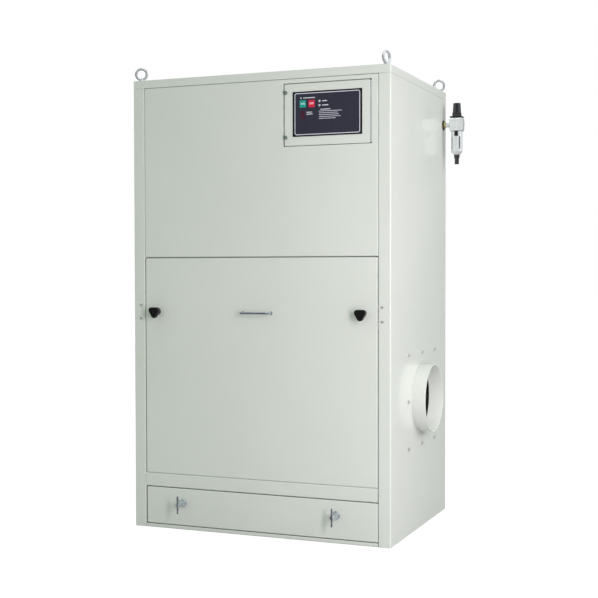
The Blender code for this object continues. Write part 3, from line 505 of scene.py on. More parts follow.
class Finishes:
    """Every finish on the collector, made once."""

    def __init__(self) -> None:
        """Make them."""
        middle = middle_of("inlet_collar")
        self.paint = Enamel().material()
        # The inlet's enamel carries painted light in its collar's bore.
        self.inlet_paint = Enamel("inlet_enamel_painted_light", bore=Bore(middle.y, middle.z)).material()
        self.make_metals()
        self.make_mouldings()
        self.felt = Felt().material()

    def make_metals(self) -> None:
        """Make the plated, turned and cast metals."""
        self.zinc = Metal(
            "bright_zinc", (0.84, 0.88, 0.91), 0.30, darker=0.74, mottle_scale=60.0, metallic=0.75
        ).material()
        self.sheet_zinc = Metal(
            "galvanised_sheet", (0.62, 0.64, 0.66), 0.42,
            darker=0.72, mottle_scale=34.0, grain_scale=260.0, grain_depth=0.00003,
        ).material()
        self.chrome = Metal(
            "plated_steel", (0.62, 0.68, 0.76), 0.12, darker=0.90, mottle_scale=40.0
        ).material()
        self.plate = Metal(
            "blued_plate", (0.84, 0.91, 1.0), 0.10, darker=0.42, mottle_scale=95.0
        ).material()
        self.bolt = Metal(
            "bolt_zinc", (0.80, 0.82, 0.82), 0.34, darker=0.80, mottle_scale=300.0, metallic=0.7
        ).material()
        self.brass = Metal(
            "turned_brass", (0.70, 0.58, 0.22), 0.28, darker=0.80, mottle_scale=200.0
        ).material()
        self.alloy = Metal(
            "cast_alloy", (0.80, 0.84, 0.84), 0.36,
            darker=0.90, mottle_scale=120.0, grain_scale=1500.0, grain_depth=0.00004, metallic=0.55,
        ).material()

    def make_mouldings(self) -> None:
        """Make the plastics, the key panel's prints and the rubber."""
        self.black = Moulding("black_nylon", (0.0045, 0.0035, 0.0042), 0.36).material()
        self.satin = Moulding(
            "satin_nylon", (0.012, 0.013, 0.016), 0.22, grain_depth=FINE_GRAIN, coat=0.5
        ).material()
        self.latch = Moulding("latch_nylon", (0.13, 0.165, 0.15), 0.42).material()
        self.film = Moulding(
            "panel_film", (0.0240, 0.0250, 0.0420), 0.34,
            lighter=1.3, grain_scale=1800.0, grain_depth=FINE_GRAIN, coat=0.15,
        ).material()
        self.border = Moulding(
            "panel_border", (0.006, 0.006, 0.008), 0.36, lighter=1.3, grain_scale=1800.0
        ).material()
        self.ink = Moulding(
            "pale_ink", (0.60, 0.60, 0.68), 0.5,
            lighter=1.1, grain_scale=2400.0, grain_depth=FINE_GRAIN,
        ).material()
        self.white_ink = Moulding(
            "white_ink", (0.86, 0.88, 0.90), 0.5,
            lighter=1.1, grain_scale=2400.0, grain_depth=FINE_GRAIN,
        ).material()
        self.green = Moulding(
            "green_key", (0.010, 0.290, 0.240), 0.34,
            lighter=1.3, grain_scale=1500.0, grain_depth=FINE_GRAIN, coat=0.3,
        ).material()
        self.red = Moulding(
            "red_key", (0.560, 0.010, 0.045), 0.34,
            lighter=1.25, grain_scale=1500.0, grain_depth=FINE_GRAIN, coat=0.3,
        ).material()
        self.lens = Moulding(
            "lamp_lens", (0.35, 0.42, 0.50), 0.18,
            lighter=1.3, grain_scale=900.0, grain_depth=FINE_GRAIN, coat=0.8,
        ).material()
        self.window = Moulding(
            "display_window", (0.050, 0.012, 0.026), 0.30,
            lighter=1.4, grain_scale=900.0, grain_depth=FINE_GRAIN, coat=0.3,
        ).material()
        self.rubber = Moulding(
            "black_rubber", (0.016, 0.016, 0.017), 0.72,
            lighter=1.6, grain_scale=700.0, grain_depth=0.0001,
        ).material()
        self.bowl = Moulding(
            "smoked_bowl", (0.020, 0.026, 0.030), 0.12,
            lighter=1.3, grain_scale=900.0, grain_depth=FINE_GRAIN, coat=0.6,
        ).material()


class Edit:
    """Edit mode on one object, with its faces picked in code."""

    def __init__(self, obj: bpy.types.Object, mode: str = "FACE") -> None:
        """Keep the object and what is picked on it, faces, edges or vertices."""
        self.obj = obj
        self.mode = mode

    def __enter__(self) -> "Edit":
        """Open the object with nothing picked.

        Returns:
            The edit.
        """
        Bench.activate(self.obj)
        bpy.ops.object.mode_set(mode="EDIT")
        bpy.ops.mesh.select_mode(type=self.mode)
        bpy.ops.mesh.select_all(action="DESELECT")
        return self

    def __exit__(self, *problem: object) -> None:
        """Close the object."""
        bpy.ops.object.mode_set(mode="OBJECT")

    def pick_faces(self, test: Callable[[Vector, Vector], bool]) -> None:
        """Pick the faces that pass a test, and no others.

        Args:
            test: it takes a face's centre and its normal.
        """
        bpy.ops.mesh.select_all(action="DESELECT")
        shape = bmesh.from_edit_mesh(self.obj.data)
        shape.normal_update()
        for face in shape.faces:
            face.select = test(face.calc_center_median(), face.normal)
        shape.select_flush_mode()
        bmesh.update_edit_mesh(self.obj.data)

    def pick_top(self) -> None:
        """Pick the highest face that looks up."""
        shape = bmesh.from_edit_mesh(self.obj.data)
        top = max(vert.co.z for vert in shape.verts)
        self.pick_faces(lambda centre, normal: normal.z > 0.9 and centre.z > top - LEVEL_MARGIN)

    def pick_all(self) -> None:
        """Pick everything."""
        bpy.ops.mesh.select_all(action="SELECT")

    def extrude(self, rise: float) -> None:
        """Extrude the picked faces along Z."""
        bpy.ops.mesh.extrude_region_move(TRANSFORM_OT_translate={"value": (0.0, 0.0, rise)})

    def step(self, margin: float, rise: float) -> None:
        """Inset the picked faces by a margin, then raise or sink what is inside it."""
        bpy.ops.mesh.inset(thickness=margin)
        self.extrude(rise)

    def draw_out(self, rise: float, share: float) -> None:
        """Extrude the picked face upwards by a rise, then shrink it to a share of its size."""
        self.extrude(rise)
        bpy.ops.transform.resize(value=(share, share, 1.0))


class Bench:
    """The modelling moves that every sub-assembly uses."""

    @staticmethod
    def clear() -> None:
        """Leave edit mode, with nothing selected."""
        if bpy.context.mode != "OBJECT":
            bpy.ops.object.mode_set(mode="OBJECT")
        bpy.ops.object.select_all(action="DESELECT")

    @staticmethod
    def activate(obj: bpy.types.Object) -> None:
        """Select one object alone.

        Args:
            obj: the object.
        """
        Bench.clear()
        obj.select_set(True)
        bpy.context.view_layer.objects.active = obj

    @staticmethod
    def link(name: str, data: bpy.types.ID) -> bpy.types.Object:
        """Put a new object into the scene.

        Args:
            name: its name.
            data: its mesh, curve, lamp or camera.

        Returns:
            The new object.
        """
        made = bpy.data.objects.new(name, data)
        bpy.context.scene.collection.objects.link(made)
        return made

    @staticmethod
    def fresh(name: str) -> bpy.types.Object:
        """Name the primitive that was just added and bake its place into its mesh.

        Args:
            name: its name.

        Returns:
            The new object.
        """
        obj = bpy.context.view_layer.objects.active
        obj.name = name
        obj.data.name = name
        Bench.activate(obj)
        bpy.ops.object.transform_apply(location=True, rotation=True, scale=True)
        return obj

    @staticmethod
    def rod(
        name: str, radius: float, low: float, high: float, sides: int = 48, tip: Optional[float] = None
    ) -> bpy.types.Object:
        """A round bar or cone standing on Z.

        Args:
            name: its name.
            radius: its radius at the foot.
            low: the height of its foot.
            high: the height of its top.
            sides: how many sides it has.
            tip: its radius at the top, if that differs.

        Returns:
            The new object.
        """
        Bench.clear()
        bpy.ops.mesh.primitive_cone_add(
            vertices=sides,
            radius1=radius,
            radius2=radius if tip is None else tip,
            depth=high - low,
            location=(0.0, 0.0, (low + high) / 2),
        )
        return Bench.fresh(name)

    @staticmethod
    def block(name: str, size: Sequence[float], middle: Sequence[float]) -> bpy.types.Object:
        """A block along the axes.

        Args:
            name: its name.
            size: the lengths of its sides.
            middle: its middle.

        Returns:
            The new object.
        """
        Bench.clear()
        bpy.ops.mesh.primitive_cube_add(size=1.0, location=middle, scale=size)
        return Bench.fresh(name)

    @staticmethod
    def prism(
        name: str, outline: Callable[[float], float], low: float, high: float, points: int
    ) -> bpy.types.Object:
        """A prism whose outline is a radius for each angle.

        Args:
            name: its name.
            outline: the radius at an angle in radians.
            low: the height of its foot.
            high: the height of its top.
            points: how many points go round it.

        Returns:
            The new object.
        """
        Bench.clear()
        bpy.ops.mesh.primitive_circle_add(
            vertices=points, radius=1.0, fill_type="NGON", location=(0.0, 0.0, low)
        )
        obj = Bench.fresh(name)
        for vert in obj.data.vertices:
            turn = math.atan2(vert.co.y, vert.co.x)
            reach = outline(turn)
            vert.co.x = reach * math.cos(turn)
            vert.co.y = reach * math.sin(turn)
        with Edit(obj) as edit:
            edit.pick_all()
            edit.extrude(high - low)
            edit.pick_all()
            bpy.ops.mesh.normals_make_consistent(inside=False)
        return obj

    @staticmethod
    def plate(
        name: str, width: float, height: float, corner: float, thickness: float, line: float = 0.0
    ) -> bpy.types.Object:
        """A thin plate with round corners, lying on the XY plane.

        Args:
            name: its name.
            width: along X.
            height: along Y.
            corner: the radius of its corners.
            thickness: along Z.
            line: the width of its rim, if only that is kept.

        Returns:
            The new object.
        """
        Bench.clear()
        bpy.ops.mesh.primitive_plane_add(size=1.0)
        obj = Bench.place(Bench.fresh(name), Matrix.Diagonal((width, height, 1.0, 1.0)))
        with Edit(obj, "VERT") as edit:
            edit.pick_all()
            bpy.ops.mesh.bevel(offset=corner, segments=5, affect="VERTICES")
            if line:
                bpy.ops.mesh.select_mode(type="FACE")
                edit.pick_all()
                bpy.ops.mesh.inset(thickness=line)
                bpy.ops.mesh.delete(type="FACE")
        Bench.modify(obj, "SOLIDIFY", thickness=thickness, offset=1.0)
        return obj

    @staticmethod
    def modify(obj: bpy.types.Object, kind: str, **settings: object) -> None:
        """Add a modifier and apply it.

        Args:
            obj: the object.
            kind: the modifier's type.
            settings: its settings, by name.
        """
        Bench.activate(obj)
        step = obj.modifiers.new(kind.lower(), kind)
        for name, value in settings.items():
            setattr(step, name, value)
        bpy.ops.object.modifier_apply(modifier=step.name)

    @staticmethod
    def soften(obj: bpy.types.Object, width: float, segments: int = 2, angle: float = 35.0) -> None:
        """Round every edge that is sharper than the angle, in degrees."""
        Bench.modify(
            obj, "BEVEL", width=width, segments=segments, limit_method="ANGLE",
            angle_limit=math.radians(angle),
        )

    @staticmethod
    def boolean(obj: bpy.types.Object, other: bpy.types.Object, operation: str) -> None:
        """Join another object to this one, cut it out or keep what they share, and remove it."""
        Bench.modify(obj, "BOOLEAN", object=other, operation=operation, solver="EXACT")
        bpy.data.objects.remove(other, do_unlink=True)

    @staticmethod
    def weld(obj: bpy.types.Object, *others: bpy.types.Object) -> bpy.types.Object:
        """Join others to the object as one body.

        Args:
            obj: the object.
            others: what joins it, each of which is removed.

        Returns:
            The object.
        """
        for other in others:
            Bench.boolean(obj, other, "UNION")
        return obj

    @staticmethod
    def gather(name: str, objs: Sequence[bpy.types.Object]) -> bpy.types.Object:
        """Put several objects into one mesh without welding them.

        Args:
            name: the name of the result.
            objs: the objects.

        Returns:
            The first of them, which holds all.
        """
        Bench.activate(objs[0])
        for obj in objs:
            obj.select_set(True)
        if len(objs) > 1:
            bpy.ops.object.join()
        objs[0].name = name
        return objs[0]

    @staticmethod
    def place(obj: bpy.types.Object, matrix: Matrix) -> bpy.types.Object:
        """Bake a place into an object's mesh."""
        obj.data.transform(matrix)
        return obj

    @staticmethod
    def copy(obj: bpy.types.Object, name: str, matrix: Matrix) -> bpy.types.Object:
        """A copy with its own mesh, at another place."""
        return Bench.place(Bench.link(name, obj.data.copy()), matrix)

    @staticmethod
    def spread(
        model: bpy.types.Object, name: str, places: Sequence[Matrix]
    ) -> bpy.types.Object:
        """One mesh with a copy of the model at each place.

        Args:
            model: what is copied. It is removed.
            name: the name of the result.
            places: where the copies go.

        Returns:
            The new object.
        """
        copies = [
            Bench.copy(model, f"{name}_{number}", place)
            for number, place in enumerate(places)
        ]
        bpy.data.objects.remove(model, do_unlink=True)
        return Bench.gather(name, copies)

    @staticmethod
    def dress(
        obj: bpy.types.Object,
        material: bpy.types.Material,
        body: Body,
        slot: Slot,
        replaces: Sequence[str] = (),
        angle: float = 35.0,
    ) -> None:
        """Finish a piece and set it on its body.

        Args:
            obj: the piece, in place.
            material: its finish.
            body: what it rides on.
            slot: the record's slot that the finish belongs to; it is not used.
            replaces: the nodes that it stands for.
            angle: the sharpest turn, in degrees, that is shaded smooth.
        """
        Bench.activate(obj)
        bpy.ops.object.shade_smooth_by_angle(angle=math.radians(angle))
        Bench.modify(obj, "WEIGHTED_NORMAL", keep_sharp=True)
        obj.data.materials.clear()
        obj.data.materials.append(material)
        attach(obj, body.value)
        if replaces:
            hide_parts(*replaces)
        LOG.info("%s: %d faces on %s", obj.name, len(obj.data.polygons), body.value)


@dataclass(frozen=True)
class Reach:
    """How far a panel's edges move out into the gaps round it."""

    node: str
    left: float = 0.0
    right: float = 0.0
    foot: float = 0.0
    head: float = 0.0


@dataclass
class SheetWork:
    """The sheets, castings and seals that are dressed from their nodes, with their edges eased."""

    finishes: Finishes
    edge: float = 0.0004
    fine_edge: float = 0.00015
    flat_angle: float = 0.5
    reaches: tuple[Reach, ...] = (
        Reach("filter_door", left=0.0024, right=0.0028, head=0.0022),
        Reach("drawer_front", left=0.0005, right=0.0034, foot=0.0036, head=0.0024),
        Reach("control_door", left=0.0020, foot=0.0030, head=0.0032),
        Reach("upper_front_panel", left=0.0003, right=0.0003, head=0.0005),
        Reach("left_side_panel", head=0.0005),
        Reach("right_side_panel", head=0.0005),
    )

    def build(self) -> None:
        """Dress every node whose shape the frame already has in full."""
        painted = (
            "base_pan left_side_panel right_side_panel top_cap lower_rear_panel "
            "upper_rear_panel exhaust_grille upper_front_panel cross_rail door_frame "
            "left_knob_bracket right_knob_bracket filter_door drawer_front control_door "
            "control_box tube_sheet"
        )
        finishes = self.finishes
        for nodes, material, slot, edge in (
            (painted, finishes.paint, Slot.PAINT, self.edge),
            ("inlet_collar", finishes.inlet_paint, Slot.PAINT, self.edge),
            ("dust_tray left_runner right_runner", finishes.sheet_zinc, Slot.ZINC, self.edge),
            ("control_hinge", finishes.alloy, Slot.ZINC, self.fine_edge),
            ("door_seal wall_grommet", finishes.rubber, Slot.RUBBER, self.edge),
            ("air_union", finishes.brass, Slot.BRASS, self.fine_edge),
            ("air_nipple regulator_body bowl_guard", finishes.alloy, Slot.ALLOY, self.fine_edge),
            ("regulator_bonnet guard_lock", finishes.black, Slot.BLACK, self.fine_edge),
            ("drain_cock", finishes.satin, Slot.BLACK, self.fine_edge),
            ("filter_bowl", finishes.bowl, Slot.BOWL, self.fine_edge),
            ("keypad", finishes.border, Slot.FILM, self.fine_edge),
        ):
            for node in nodes.split():
                self.dress_node(node, material, slot, edge)

    def dress_node(
        self, node: str, material: bpy.types.Material, slot: Slot, edge: float
    ) -> None:
        """Copy a node's mesh, weld it, ease its edges and finish it.

        Args:
            node: the node's name.
            material: its finish.
            slot: the record's slot.
            edge: how far its sharp edges are rounded.
        """
        source = frame["nodes"][node]
        obj = Bench.link(node + "_piece", source.data.copy())
        with Edit(obj, "VERT") as edit:
            edit.pick_all()
            bpy.ops.mesh.customdata_custom_splitnormals_clear()
            bpy.ops.mesh.remove_doubles(threshold=WELD_DISTANCE)
            bpy.ops.mesh.dissolve_limited(angle_limit=math.radians(self.flat_angle))
        for reach in self.reaches:
            if reach.node == node:
                self.widen(obj, reach)
        Bench.soften(obj, edge)
        Bench.dress(obj, material, Body(source["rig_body"]), slot, [node])

    def widen(self, obj: bpy.types.Object, reach: Reach) -> None:
        """Let a panel's edges reach a little into the gap round it, which thins the gap line.

        Args:
            obj: the panel, in place.
            reach: how far each of its edges moves out.
        """
        low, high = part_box(reach.node)
        across = (high.x - low.x + reach.left + reach.right) / (high.x - low.x)
        rise = (high.z - low.z + reach.foot + reach.head) / (high.z - low.z)
        corner = Matrix.Translation((low.x, 0.0, low.z))
        moved = Matrix.Translation((low.x - reach.left, 0.0, low.z - reach.foot))
        Bench.place(obj, moved @ Matrix.Diagonal((across, 1.0, rise, 1.0)) @ corner.inverted())


@dataclass
class LiftingEyes:
    """The four forged eyes screwed into the corners of the roof."""

    finishes: Finishes
    ring_radius: float = 0.020
    section: float = 0.005
    ring_height: float = 0.026
    collar_radius: float = 0.0125
    collar_height: float = 0.005
    collar_taper: float = 0.78
    collar_edge: float = 0.0007
    neck_share: float = 0.75
    neck_foot: float = 0.004
    neck_height: float = 0.0105
    neck_radius: float = 0.006
    shank_radius: float = 0.006
    shank_depth: float = 0.018
    turns: tuple[tuple[str, float], ...] = (
        ("front_left", 18.0),
        ("front_right", 75.0),
        ("rear_left", 10.0),
        ("rear_right", 24.0),
    )

    def build(self) -> None:
        """Model one eye, copy it to the four corners and remove the model."""
        model = self.model()
        for corner, turn in self.turns:
            node = "lifting_eye_" + corner
            middle = middle_of(node)
            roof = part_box(node)[1].z - self.ring_radius - self.section - self.ring_height
            eye = Bench.copy(model, node + "_forged", Facing.UP.at((middle.x, middle.y, roof), turn))
            Bench.dress(eye, self.finishes.zinc, Body.CABINET, Slot.ZINC, [node], 50.0)
        bpy.data.objects.remove(model, do_unlink=True)

    def model(self) -> bpy.types.Object:
        """Model one eye.

        Returns:
            The eye standing on Z, with its ring across X.
        """
        Bench.clear()
        bpy.ops.mesh.primitive_torus_add(
            major_radius=self.ring_radius,
            minor_radius=self.section,
            major_segments=56,
            minor_segments=20,
            rotation=(math.radians(90), 0.0, 0.0),
        )
        ring = Bench.fresh("eye_model")
        Bench.place(ring, Matrix.Translation((0.0, 0.0, self.ring_height)))
        collar_tip = self.collar_radius * self.collar_taper
        collar = Bench.rod("eye_collar", self.collar_radius, 0.0, self.collar_height, 48, collar_tip)
        Bench.soften(collar, self.collar_edge, 3, 25.0)
        neck_foot_radius = self.collar_radius * self.neck_share
        neck = Bench.rod(
            "eye_neck", neck_foot_radius, self.neck_foot, self.neck_height, 40, self.neck_radius
        )
        shank = Bench.rod("eye_shank", self.shank_radius, -self.shank_depth, self.neck_foot, 24)
        return Bench.weld(ring, collar, neck, shank)


@dataclass
class ClampKnobs:
    """The two three-lobed knobs that hold the filter door."""

    finishes: Finishes
    radius: float = 0.0195
    lobe: float = 0.0032
    thickness: float = 0.018
    rounding: float = 0.0034
    dish_margin: float = 0.0035
    dish_depth: float = 0.0012
    hub_radius: float = 0.011
    hub_length: float = 0.020
    hub_taper: float = 0.94
    hub_overlap: float = 0.004
    hub_edge: float = 0.0006
    seat: float = 0.0003
    stud_radius: float = 0.005
    washer_radius: float = 0.0125
    washer_thickness: float = 0.0012
    washer_edge: float = 0.0002

    def build(self) -> None:
        """Set a knob on each side of the door."""
        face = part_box("filter_door")[0].y
        for side, body in (("left", Body.LEFT_KNOB), ("right", Body.RIGHT_KNOB)):
            node = side + "_clamp_knob"
            low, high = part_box(node)
            rise = low.z + self.radius + self.lobe
            place = Facing.FRONT.at(((low.x + high.x) / 2, face - self.seat, rise))
            knob = Bench.place(self.grip(), place)
            knob.name = node + "_grip"
            Bench.dress(knob, self.finishes.black, body, Slot.BLACK, [node], 40.0)
            stud = Bench.place(self.stud(high.y - face), place)
            stud.name = node + "_stud"
            Bench.dress(stud, self.finishes.bolt, body, Slot.ZINC)

    def outline(self, turn: float) -> float:
        """The grip's radius at an angle, with one lobe pointing down."""
        return self.radius + self.lobe * math.cos(3 * (turn + math.pi / 2))

    def grip(self) -> bpy.types.Object:
        """Model the moulded grip on its hub.

        Returns:
            The grip standing on Z.
        """
        low = self.hub_length + self.seat
        grip = Bench.prism("grip", self.outline, low, low + self.thickness - self.seat, 96)
        Bench.soften(grip, self.rounding, 5)
        with Edit(grip) as edit:
            edit.pick_top()
            edit.step(self.dish_margin, -self.dish_depth)
        hub_tip = self.hub_radius * self.hub_taper
        hub_top = low + self.hub_overlap
        hub = Bench.rod("hub", self.hub_radius, self.washer_thickness, hub_top, 48, hub_tip)
        Bench.soften(hub, self.hub_edge)
        return Bench.weld(grip, hub)

    def stud(self, length: float) -> bpy.types.Object:
        """Model the steel stud, with a washer under the hub.

        Args:
            length: how far it goes through the door.

        Returns:
            The stud along Z.
        """
        stud = Bench.rod("stud", self.stud_radius, -length, self.washer_thickness / 2, 24)
        washer = Bench.rod("stud_washer", self.washer_radius, 0.0, self.washer_thickness, 48)
        Bench.soften(washer, self.washer_edge)
        return Bench.weld(stud, washer)


@dataclass
class WingBolts:
    """The two plated T-bar bolts that clamp the dust drawer."""

    finishes: Finishes
    foot_radius: float = 0.015
    foot_thickness: float = 0.006
    foot_taper: float = 0.86
    foot_edge: float = 0.0008
    shank_radius: float = 0.0122
    bell: tuple[Pair, ...] = (
        (0.0100, 0.0119),
        (0.0150, 0.0110),
        (0.0195, 0.0093),
        (0.0230, 0.0080),
        (0.0290, 0.0070),
        (0.0370, 0.0062),
        (0.0490, 0.0055),
    )
    reach: float = 0.043
    bar_length: float = 0.065
    bar_radius: float = 0.0035
    rounding: float = 0.0012
    thread_radius: float = 0.005
    seat: float = 0.0003

    def build(self) -> None:
        """Set a bolt on each side of the drawer."""
        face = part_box("drawer_front")[0].y
        for side, body in (("left", Body.LEFT_BOLT), ("right", Body.RIGHT_BOLT)):
            node = side + "_wing_bolt"
            middle = middle_of(node)
            place = Facing.FRONT.at((middle.x, face - self.seat, middle.z))
            bolt = Bench.place(self.model(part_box(node)[1].y - face), place)
            bolt.name = node + "_plated"
            Bench.dress(bolt, self.finishes.plate, body, Slot.CHROME, [node], 40.0)

    def model(self, inside: float) -> bpy.types.Object:
        """Model one bolt, whose shank narrows as its bell says, in heights and radii.

        Args:
            inside: how far its thread goes through the drawer's front.

        Returns:
            The bolt standing on Z, with its bar across Y.
        """
        foot_tip = self.foot_radius * self.foot_taper
        foot = Bench.rod("foot", self.foot_radius, 0.0, self.foot_thickness, 64, foot_tip)
        Bench.soften(foot, self.foot_edge, 3, 20.0)
        shank = Bench.rod("shank", self.shank_radius, self.foot_thickness / 2, self.foot_thickness, 64)
        level, radius = self.foot_thickness, self.shank_radius
        with Edit(shank) as edit:
            edit.pick_top()
            for rise, next_radius in self.bell:
                edit.draw_out(rise - level, next_radius / radius)
                level, radius = rise, next_radius
        Bench.soften(shank, self.rounding, 3)
        thread = Bench.rod("thread", self.thread_radius, -inside, self.foot_thickness / 2, 24)
        bar = Bench.rod("bar", self.bar_radius, -self.bar_length / 2, self.bar_length / 2, 32)
        Bench.soften(bar, self.rounding, 3)
        lay_down = Matrix.Rotation(math.pi / 2, 4, "X")
        Bench.place(bar, Matrix.Translation((0.0, 0.0, self.reach)) @ lay_down)
        return Bench.weld(foot, shank, thread, bar)


@dataclass
class PullHandle:
    """The wire pull on the filter door."""

    finishes: Finishes
    reach: float = 0.030
    radius: float = 0.0045
    bend: float = 0.010
    bend_steps: int = 8
    seat: float = 0.0003
    ferrule_radius: float = 0.0065
    ferrule_taper: float = 0.85
    ferrule_height: float = 0.0018
    ferrule_seat: float = 0.0002

    def build(self) -> None:
        """Bend the pull and seat it on the door."""
        middle = middle_of("door_handle")
        spot = (middle.x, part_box("filter_door")[0].y, middle.z)
        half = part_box("door_handle")[1].x - middle.x - self.radius
        pull = self.bent_wire(half)
        tip = self.ferrule_radius * self.ferrule_taper
        for side in (-1, 1):
            ferrule = Bench.rod(
                "ferrule", self.ferrule_radius, self.ferrule_seat, self.ferrule_height, 40, tip
            )
            Bench.weld(pull, Bench.place(ferrule, Matrix.Translation((side * half, 0.0, 0.0))))
        Bench.place(pull, Facing.FRONT.at(spot))
        Bench.dress(pull, self.finishes.chrome, Body.FILTER_DOOR, Slot.CHROME, ["door_handle"], 50.0)

    def route(self, half: float) -> list[Vector]:
        """Lead the wire up from one foot, round two bends and down to the other foot.

        Args:
            half: half the distance between its two feet, along X.

        Returns:
            The points of its middle line, with its reach along Z.
        """
        points = [Vector((-half, 0.0, self.seat))]
        for side in (-1, 1):
            middle = Vector((side * (half - self.bend), 0.0, self.reach - self.bend))
            for step in range(self.bend_steps + 1):
                share = step / self.bend_steps
                swing = math.pi / 2 * (share if side < 0 else 1 - share)
                arm = Vector((side * math.cos(swing), 0.0, math.sin(swing)))
                points.append(middle + arm * self.bend)
        points.append(Vector((half, 0.0, self.seat)))
        return points

    def bent_wire(self, half: float) -> bpy.types.Object:
        """Make the wire a round, closed mesh.

        Args:
            half: half the distance between its two feet, along X.

        Returns:
            The wire, with its reach along Z.
        """
        route = self.route(half)
        curve = bpy.data.curves.new("pull", "CURVE")
        curve.dimensions = "3D"
        curve.bevel_depth = self.radius
        curve.bevel_resolution = 6
        curve.use_fill_caps = True
        spline = curve.splines.new("POLY")
        spline.points.add(len(route) - 1)
        for point, place in zip(spline.points, route):
            point.co = (*place, 1.0)
        obj = Bench.link("door_pull", curve)
        Bench.activate(obj)
        bpy.ops.object.convert(target="MESH")
        with Edit(obj, "VERT") as edit:
            edit.pick_all()
            bpy.ops.mesh.remove_doubles(threshold=WELD_DISTANCE)
            bpy.ops.mesh.normals_make_consistent(inside=False)
        return obj


@dataclass(frozen=True)
class HexBolt:
    """A hexagon head on its washer."""

    across: float = 0.010
    height: float = 0.0045
    washer_radius: float = 0.0085
    washer_thickness: float = 0.0014
    washer_edge: float = 0.0003
    overlap: float = 0.0002
    face_margin: float = 0.07
    face_rise: float = 0.08
    rounding: float = 0.035

    def model(self) -> bpy.types.Object:
        """Model one bolt head, its details as shares of its width and height.

        Returns:
            The head standing on Z.
        """
        base = Bench.rod("washer", self.washer_radius, 0.0, self.washer_thickness, 40)
        Bench.soften(base, self.washer_edge)
        foot = self.washer_thickness - self.overlap
        top = self.washer_thickness + self.height
        head = Bench.rod("head", self.across / math.sqrt(3), foot, top, 6)
        with Edit(head) as edit:
            edit.pick_top()
            edit.step(self.across * self.face_margin, self.height * self.face_rise)
        Bench.soften(head, self.across * self.rounding)
        return Bench.weld(base, head)


@dataclass(frozen=True)
class ButtonScrew:
    """A domed head with a hexagon socket."""

    radius: float
    height: float
    taper: float = 0.72
    rounding: float = 0.42
    socket_radius: float = 0.36
    socket_foot: float = 0.45

    def model(self) -> bpy.types.Object:
        """Model one screw head, its details as shares of its radius and height.

        Returns:
            The head standing on Z.
        """
        head = Bench.rod("button", self.radius, 0.0, self.height, 40, self.radius * self.taper)
        Bench.soften(head, self.height * self.rounding, 4, 20.0)
        foot = self.height * self.socket_foot
        top = self.height + CUT_MARGIN
        socket = Bench.rod("socket", self.radius * self.socket_radius, foot, top, 6)
        Bench.boolean(head, socket, "DIFFERENCE")
        return head


@dataclass
class Fasteners:
    """The small bolts and screws that show on the outside."""

    finishes: Finishes
    inlet_bolt: HexBolt = HexBolt()
    inlet_pitch: float = 0.170
    inlet_turn: float = 10.0
    post_screw: ButtonScrew = ButtonScrew(0.0055, 0.0030)
    post_inset: float = 0.030
    post_pitch: float = 0.050
    rear_screw: ButtonScrew = ButtonScrew(0.0045, 0.0024)
    rear_inset: float = 0.012
    rear_steps: int = 4
    grille_step: float = 0.0026
    cover_screw: ButtonScrew = ButtonScrew(0.0022, 0.0012)
    cover_inset: float = 0.022
    cover_reach: float = 0.0155
    cover_depth: float = 0.0015

    def build(self) -> None:
        """Put every fastener of the cabinet in place."""
        self.inlet_bolts()
        self.post_screws()
        self.rear_screws()

    def drive(self, model: bpy.types.Object, name: str, places: Sequence[Matrix]) -> None:
        """Put a fastener at each place, as one piece.

        Args:
            model: one fastener, standing on Z.
            name: the piece's name.
            places: where they go.
        """
        fasteners = Bench.spread(model, name, places)
        Bench.dress(fasteners, self.finishes.bolt, Body.CABINET, Slot.ZINC)

    def inlet_bolts(self) -> None:
        """Eight bolts in a square round the inlet, each turned a little further than the last."""
        middle = middle_of("inlet_collar")
        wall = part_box("right_side_panel")[1].x
        steps = (-self.inlet_pitch, 0.0, self.inlet_pitch)
        spots = [(across, rise) for rise in steps for across in steps if across or rise]
        places = [
            Facing.RIGHT.at((wall, middle.y + across, middle.z + rise), self.inlet_turn * number)
            for number, (across, rise) in enumerate(spots)
        ]
        self.drive(self.inlet_bolt.model(), "inlet_bolts", places)

    def post_screws(self) -> None:
        """Two screws through each corner post, which hold the knob brackets behind it."""
        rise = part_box("left_clamp_knob")[0].z + ClampKnobs.radius + ClampKnobs.lobe
        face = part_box("right_side_panel")[0].y
        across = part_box("right_side_panel")[1].x - self.post_inset
        places = [
            Facing.FRONT.at((side * across, face, rise + step * self.post_pitch / 2))
            for side in (-1, 1)
            for step in (-1, 1)
        ]
        self.drive(self.post_screw.model(), "post_screws", places)

    def rear_screws(self) -> None:
        """The screws round the two rear panels and the exhaust grille."""
        panel_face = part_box("upper_rear_panel")[1].y
        places = []
        for node in ("lower_rear_panel", "upper_rear_panel", "exhaust_grille"):
            low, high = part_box(node)
            face = panel_face + self.grille_step if node == "exhaust_grille" else high.y
            side_line = high.x - self.rear_inset
            foot = low.z + self.rear_inset
            head = high.z - self.rear_inset
            for step in range(self.rear_steps + 1):
                rise = foot + (head - foot) * step / self.rear_steps
                places += [Facing.REAR.at((side * side_line, face, rise)) for side in (-1, 1)]
            for step in range(1, self.rear_steps):
                along = (2 * step / self.rear_steps - 1) * side_line
                places += [Facing.REAR.at((along, face, level)) for level in (foot, head)]
        self.drive(self.rear_screw.model(), "rear_screws", places)

    def cover_screws(self) -> None:
        """Four small screws in the front of the regulator's body, round its cover plate."""
        middle_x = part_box("bowl_guard")[0].x + self.cover_inset
        middle_z = middle_of("regulator_body").z
        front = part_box("regulator_body")[0].y + self.cover_depth
        places = [
            Facing.FRONT.at(
                (middle_x + across * self.cover_reach, front, middle_z + rise * self.cover_reach)
            )
            for across in (-1, 1)
            for rise in (-1, 1)
        ]
        self.drive(self.cover_screw.model(), "cover_screws", places)


@dataclass(frozen=True)
class Bar:
    """A printed bar, placed by its middle."""

    across: float
    rise: float
    length: float
    height: float


